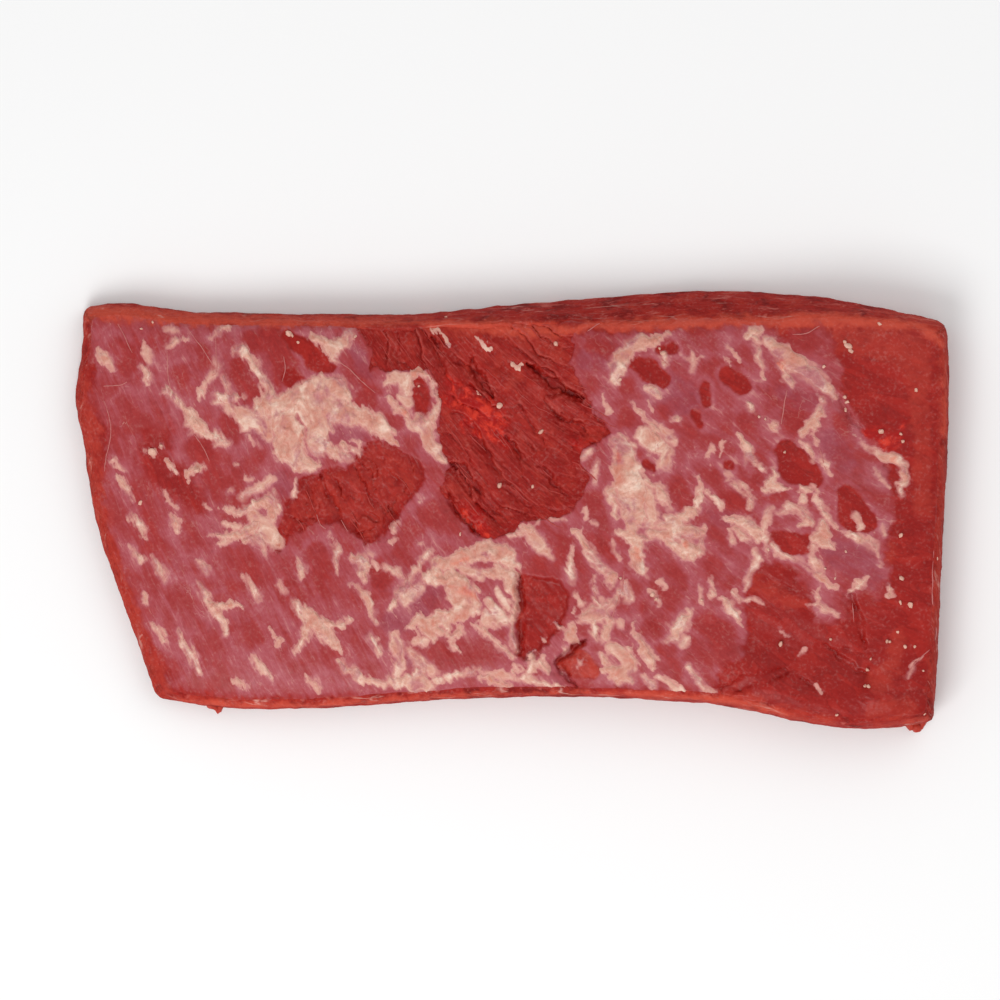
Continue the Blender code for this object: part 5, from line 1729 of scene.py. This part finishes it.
def grown(name, points, edges, sizes, tree, inputs):
    """What a geometry tree makes from points and edges, as one plain mesh."""
    mesh = bpy.data.meshes.new(name)
    mesh.from_pydata((points * MM).tolist(), edges, [])
    add_values(mesh, size=sizes)
    made = bpy.data.objects.new(name, mesh)
    bpy.context.scene.collection.objects.link(made)
    modifier = made.modifiers.new("grow", "NODES")
    modifier.node_group = tree
    for item in tree.interface.items_tree:
        if item.in_out == "INPUT" and item.name in inputs:
            modifier[item.identifier] = inputs[item.name]
    return settled(made)


def smooth_path(stroke):
    """Evenly spaced places along a soft curve through a thread's points."""
    knots = np.array(stroke, float)
    knots = np.vstack((2 * knots[0] - knots[1], knots, 2 * knots[-1] - knots[-2]))
    path = []
    for before, start, end, after in zip(knots, knots[1:], knots[2:], knots[3:]):
        count = max(2, int(np.linalg.norm(end - start) / THREAD_STEP))
        part = (np.arange(count) / count)[:, None]
        path.append(0.5 * (2 * start + (end - before) * part
                           + (2 * before - 5 * start + 4 * end - after) * part ** 2
                           + (3 * start - before - 3 * end + after) * part ** 3))
    return np.vstack((*path, knots[-2:-1]))


def strung(name, strokes, height, material):
    """Threads that lie on the surface along strokes of (places, half width)."""
    points, edges, sizes = [], [], []
    for stroke, half in strokes:
        plan = warped(smooth_path(stroke), size=7.0, reach=0.4, seed=301)
        first = len(points)
        taper = 0.45 + 0.55 * np.sin(np.pi * np.linspace(0.08, 0.92, len(plan)))
        width = THREAD_SHARE * half * taper * (1 + 0.8 * fractal(plan, size=3.0, seed=303, octaves=1))
        z = height(plan) + 0.1 * width
        points += np.column_stack((plan, z)).tolist()
        sizes += width.tolist()
        edges += [(first + k, first + k + 1) for k in range(len(plan) - 1)]
    return grown(name, np.array(points), edges, np.array(sizes), THREAD_TREE,
                 {"Sides": THREAD_SIDES, "Material": material})


def loose_strands():
    """Short strands of muscle fibre in the torn places, running with the fibres."""
    random = np.random.default_rng(STRAND_SEED)
    strokes = []
    while len(strokes) < STRAND_COUNT:
        start = random.uniform(*STRAND_REACH)
        inside = max(outline_depth(start[None], TORN)[0], outline_depth(start[None], ROUGH)[0])
        if inside < STRAND_MARGIN:
            continue
        places = [start]
        for _ in range(random.integers(2, 5)):
            slope = TORN_SLOPE - TORN_TURN * places[-1][0] + random.normal(0, 0.3)
            step = random.uniform(2.0, 4.0) / math.hypot(1, slope)
            places.append(places[-1] + (step, -slope * step))
        strokes.append((places, random.uniform(0.22, 0.45)))
    return strokes


def plain_material(name, colour, roughness=0.4, specular=0.3):
    """A material of one colour with the fine grain of wet meat and its painted sheen and glints."""
    material, tree, shader = new_material(name, roughness=roughness, specular=specular)
    pores = placed(tree, PORES, Size=PORE_SIZE)
    tree.links.new(speckled(tree, colour, pores["Shade"], 0.1), shader.inputs["Base Color"])
    return material


def low_height(plan):
    """Height at which the shreds of muscle hang on the near edge."""
    return SHRED_HEIGHT + 0.15 * (plan[:, 1] - SHRED_PLACE)


CRUMB_TREE = crumb_tree()
THREAD_TREE = thread_tree()


def crumbs_piece():
    """Loose crumbs of fat where they lie on the upper face."""
    places = np.array(CRUMBS, float)
    plan, sizes = places[:, :2], places[:, 2]
    height = open_height(plan) + 0.15 * sizes
    return grown("fat_crumbs", np.column_stack((plan, height)), [], sizes, CRUMB_TREE,
                 {"Unevenness": CRUMB_LUMPS * MM, "Seed": CRUMB_SEED,
                  "Material": plain_material("fat_crumb", FAT_CREAM)})


# The pieces; each rides the one body, and together they stand in place of the imported solid.
body = lean_body()
faces = face_pieces()
torn = torn_piece()
fats = [fat_piece("fat_thin_end", FAT_LEFT), fat_piece("fat_middle", FAT_MIDDLE),
        fat_piece("fat_thick_end", FAT_RIGHT), fat_piece("fat_near_side", FAT_NEAR)]

crumbs = crumbs_piece()
threads = strung("connective_threads", THREADS, open_height, plain_material("thread", THREAD_WHITE))
strands = strung("muscle_strands", loose_strands(), open_height, plain_material("strand", STRAND_RED))
shreds = strung("edge_shreds", SHREDS, low_height, plain_material("shred", EDGE_ORANGE, 0.45, 0.2))

for piece in [body, *faces, torn, *fats, crumbs, threads, strands, shreds]:
    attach(piece, BODY)
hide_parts(BRISKET)


# ---------------------------------------------------------------- floor, light and camera

FLOOR_HALF = 3000.0
ROOM_LIGHT = 0.62
# Each light's name, place, side and power.
LIGHTS = (("key", (-450, -900, 1300), 800, 13), ("fill", (800, 700, 1400), 1200, 4))
CAMERA_PLACE = (-4.8, 4.0, 3020.0)
CAMERA_LENS, CAMERA_SENSOR = 263.0, 36.0
CAMERA_SIGHT = 20.0         # how far it sees, in metres


def floor():
    """A plain pale floor."""
    material = bpy.data.materials.new("pale_floor")
    material.use_nodes = True
    shader = material.node_tree.nodes["Principled BSDF"]
    shader.inputs["Base Color"].default_value = FLOOR_WHITE
    shader.inputs["Roughness"].default_value = 0.9
    shader.inputs["Specular IOR Level"].default_value = 0.1
    corners = np.array([(-1, -1, 0), (1, -1, 0), (1, 1, 0), (-1, 1, 0)]) * FLOOR_HALF
    new_object("pale_floor", corners, [(0, 1, 2, 3)], material, smooth=False)


def soft_light(name, place, side, power):
    """A broad square light that points at the meat."""
    light = bpy.data.lights.new(name, "AREA")
    light.shape = "SQUARE"
    light.size = side * MM
    light.energy = power
    made = bpy.data.objects.new(name, light)
    made.location = Vector(place) * MM
    made.rotation_euler = (-Vector(place)).to_track_quat("-Z", "Y").to_euler()
    bpy.context.scene.collection.objects.link(made)


def daylight(strength):
    """Even light from all round."""
    world = bpy.data.worlds.new("soft room")
    bpy.context.scene.world = world
    world.use_nodes = True
    sky = world.node_tree.nodes["Background"]
    sky.inputs["Color"].default_value = (1.0, 1.0, 1.0, 1.0)
    sky.inputs["Strength"].default_value = strength


def straight_down_camera():
    """A long lens high over the table."""
    data = bpy.data.cameras.new("camera")
    data.sensor_width = CAMERA_SENSOR
    data.lens = CAMERA_LENS
    data.clip_end = CAMERA_SIGHT
    camera = bpy.data.objects.new("camera", data)
    camera.location = Vector(CAMERA_PLACE) * MM
    bpy.context.scene.collection.objects.link(camera)
    bpy.context.scene.camera = camera


floor()
daylight(ROOM_LIGHT)
for light_facts in LIGHTS:
    soft_light(*light_facts)
straight_down_camera()
bpy.context.scene.view_settings.view_transform = "Standard"
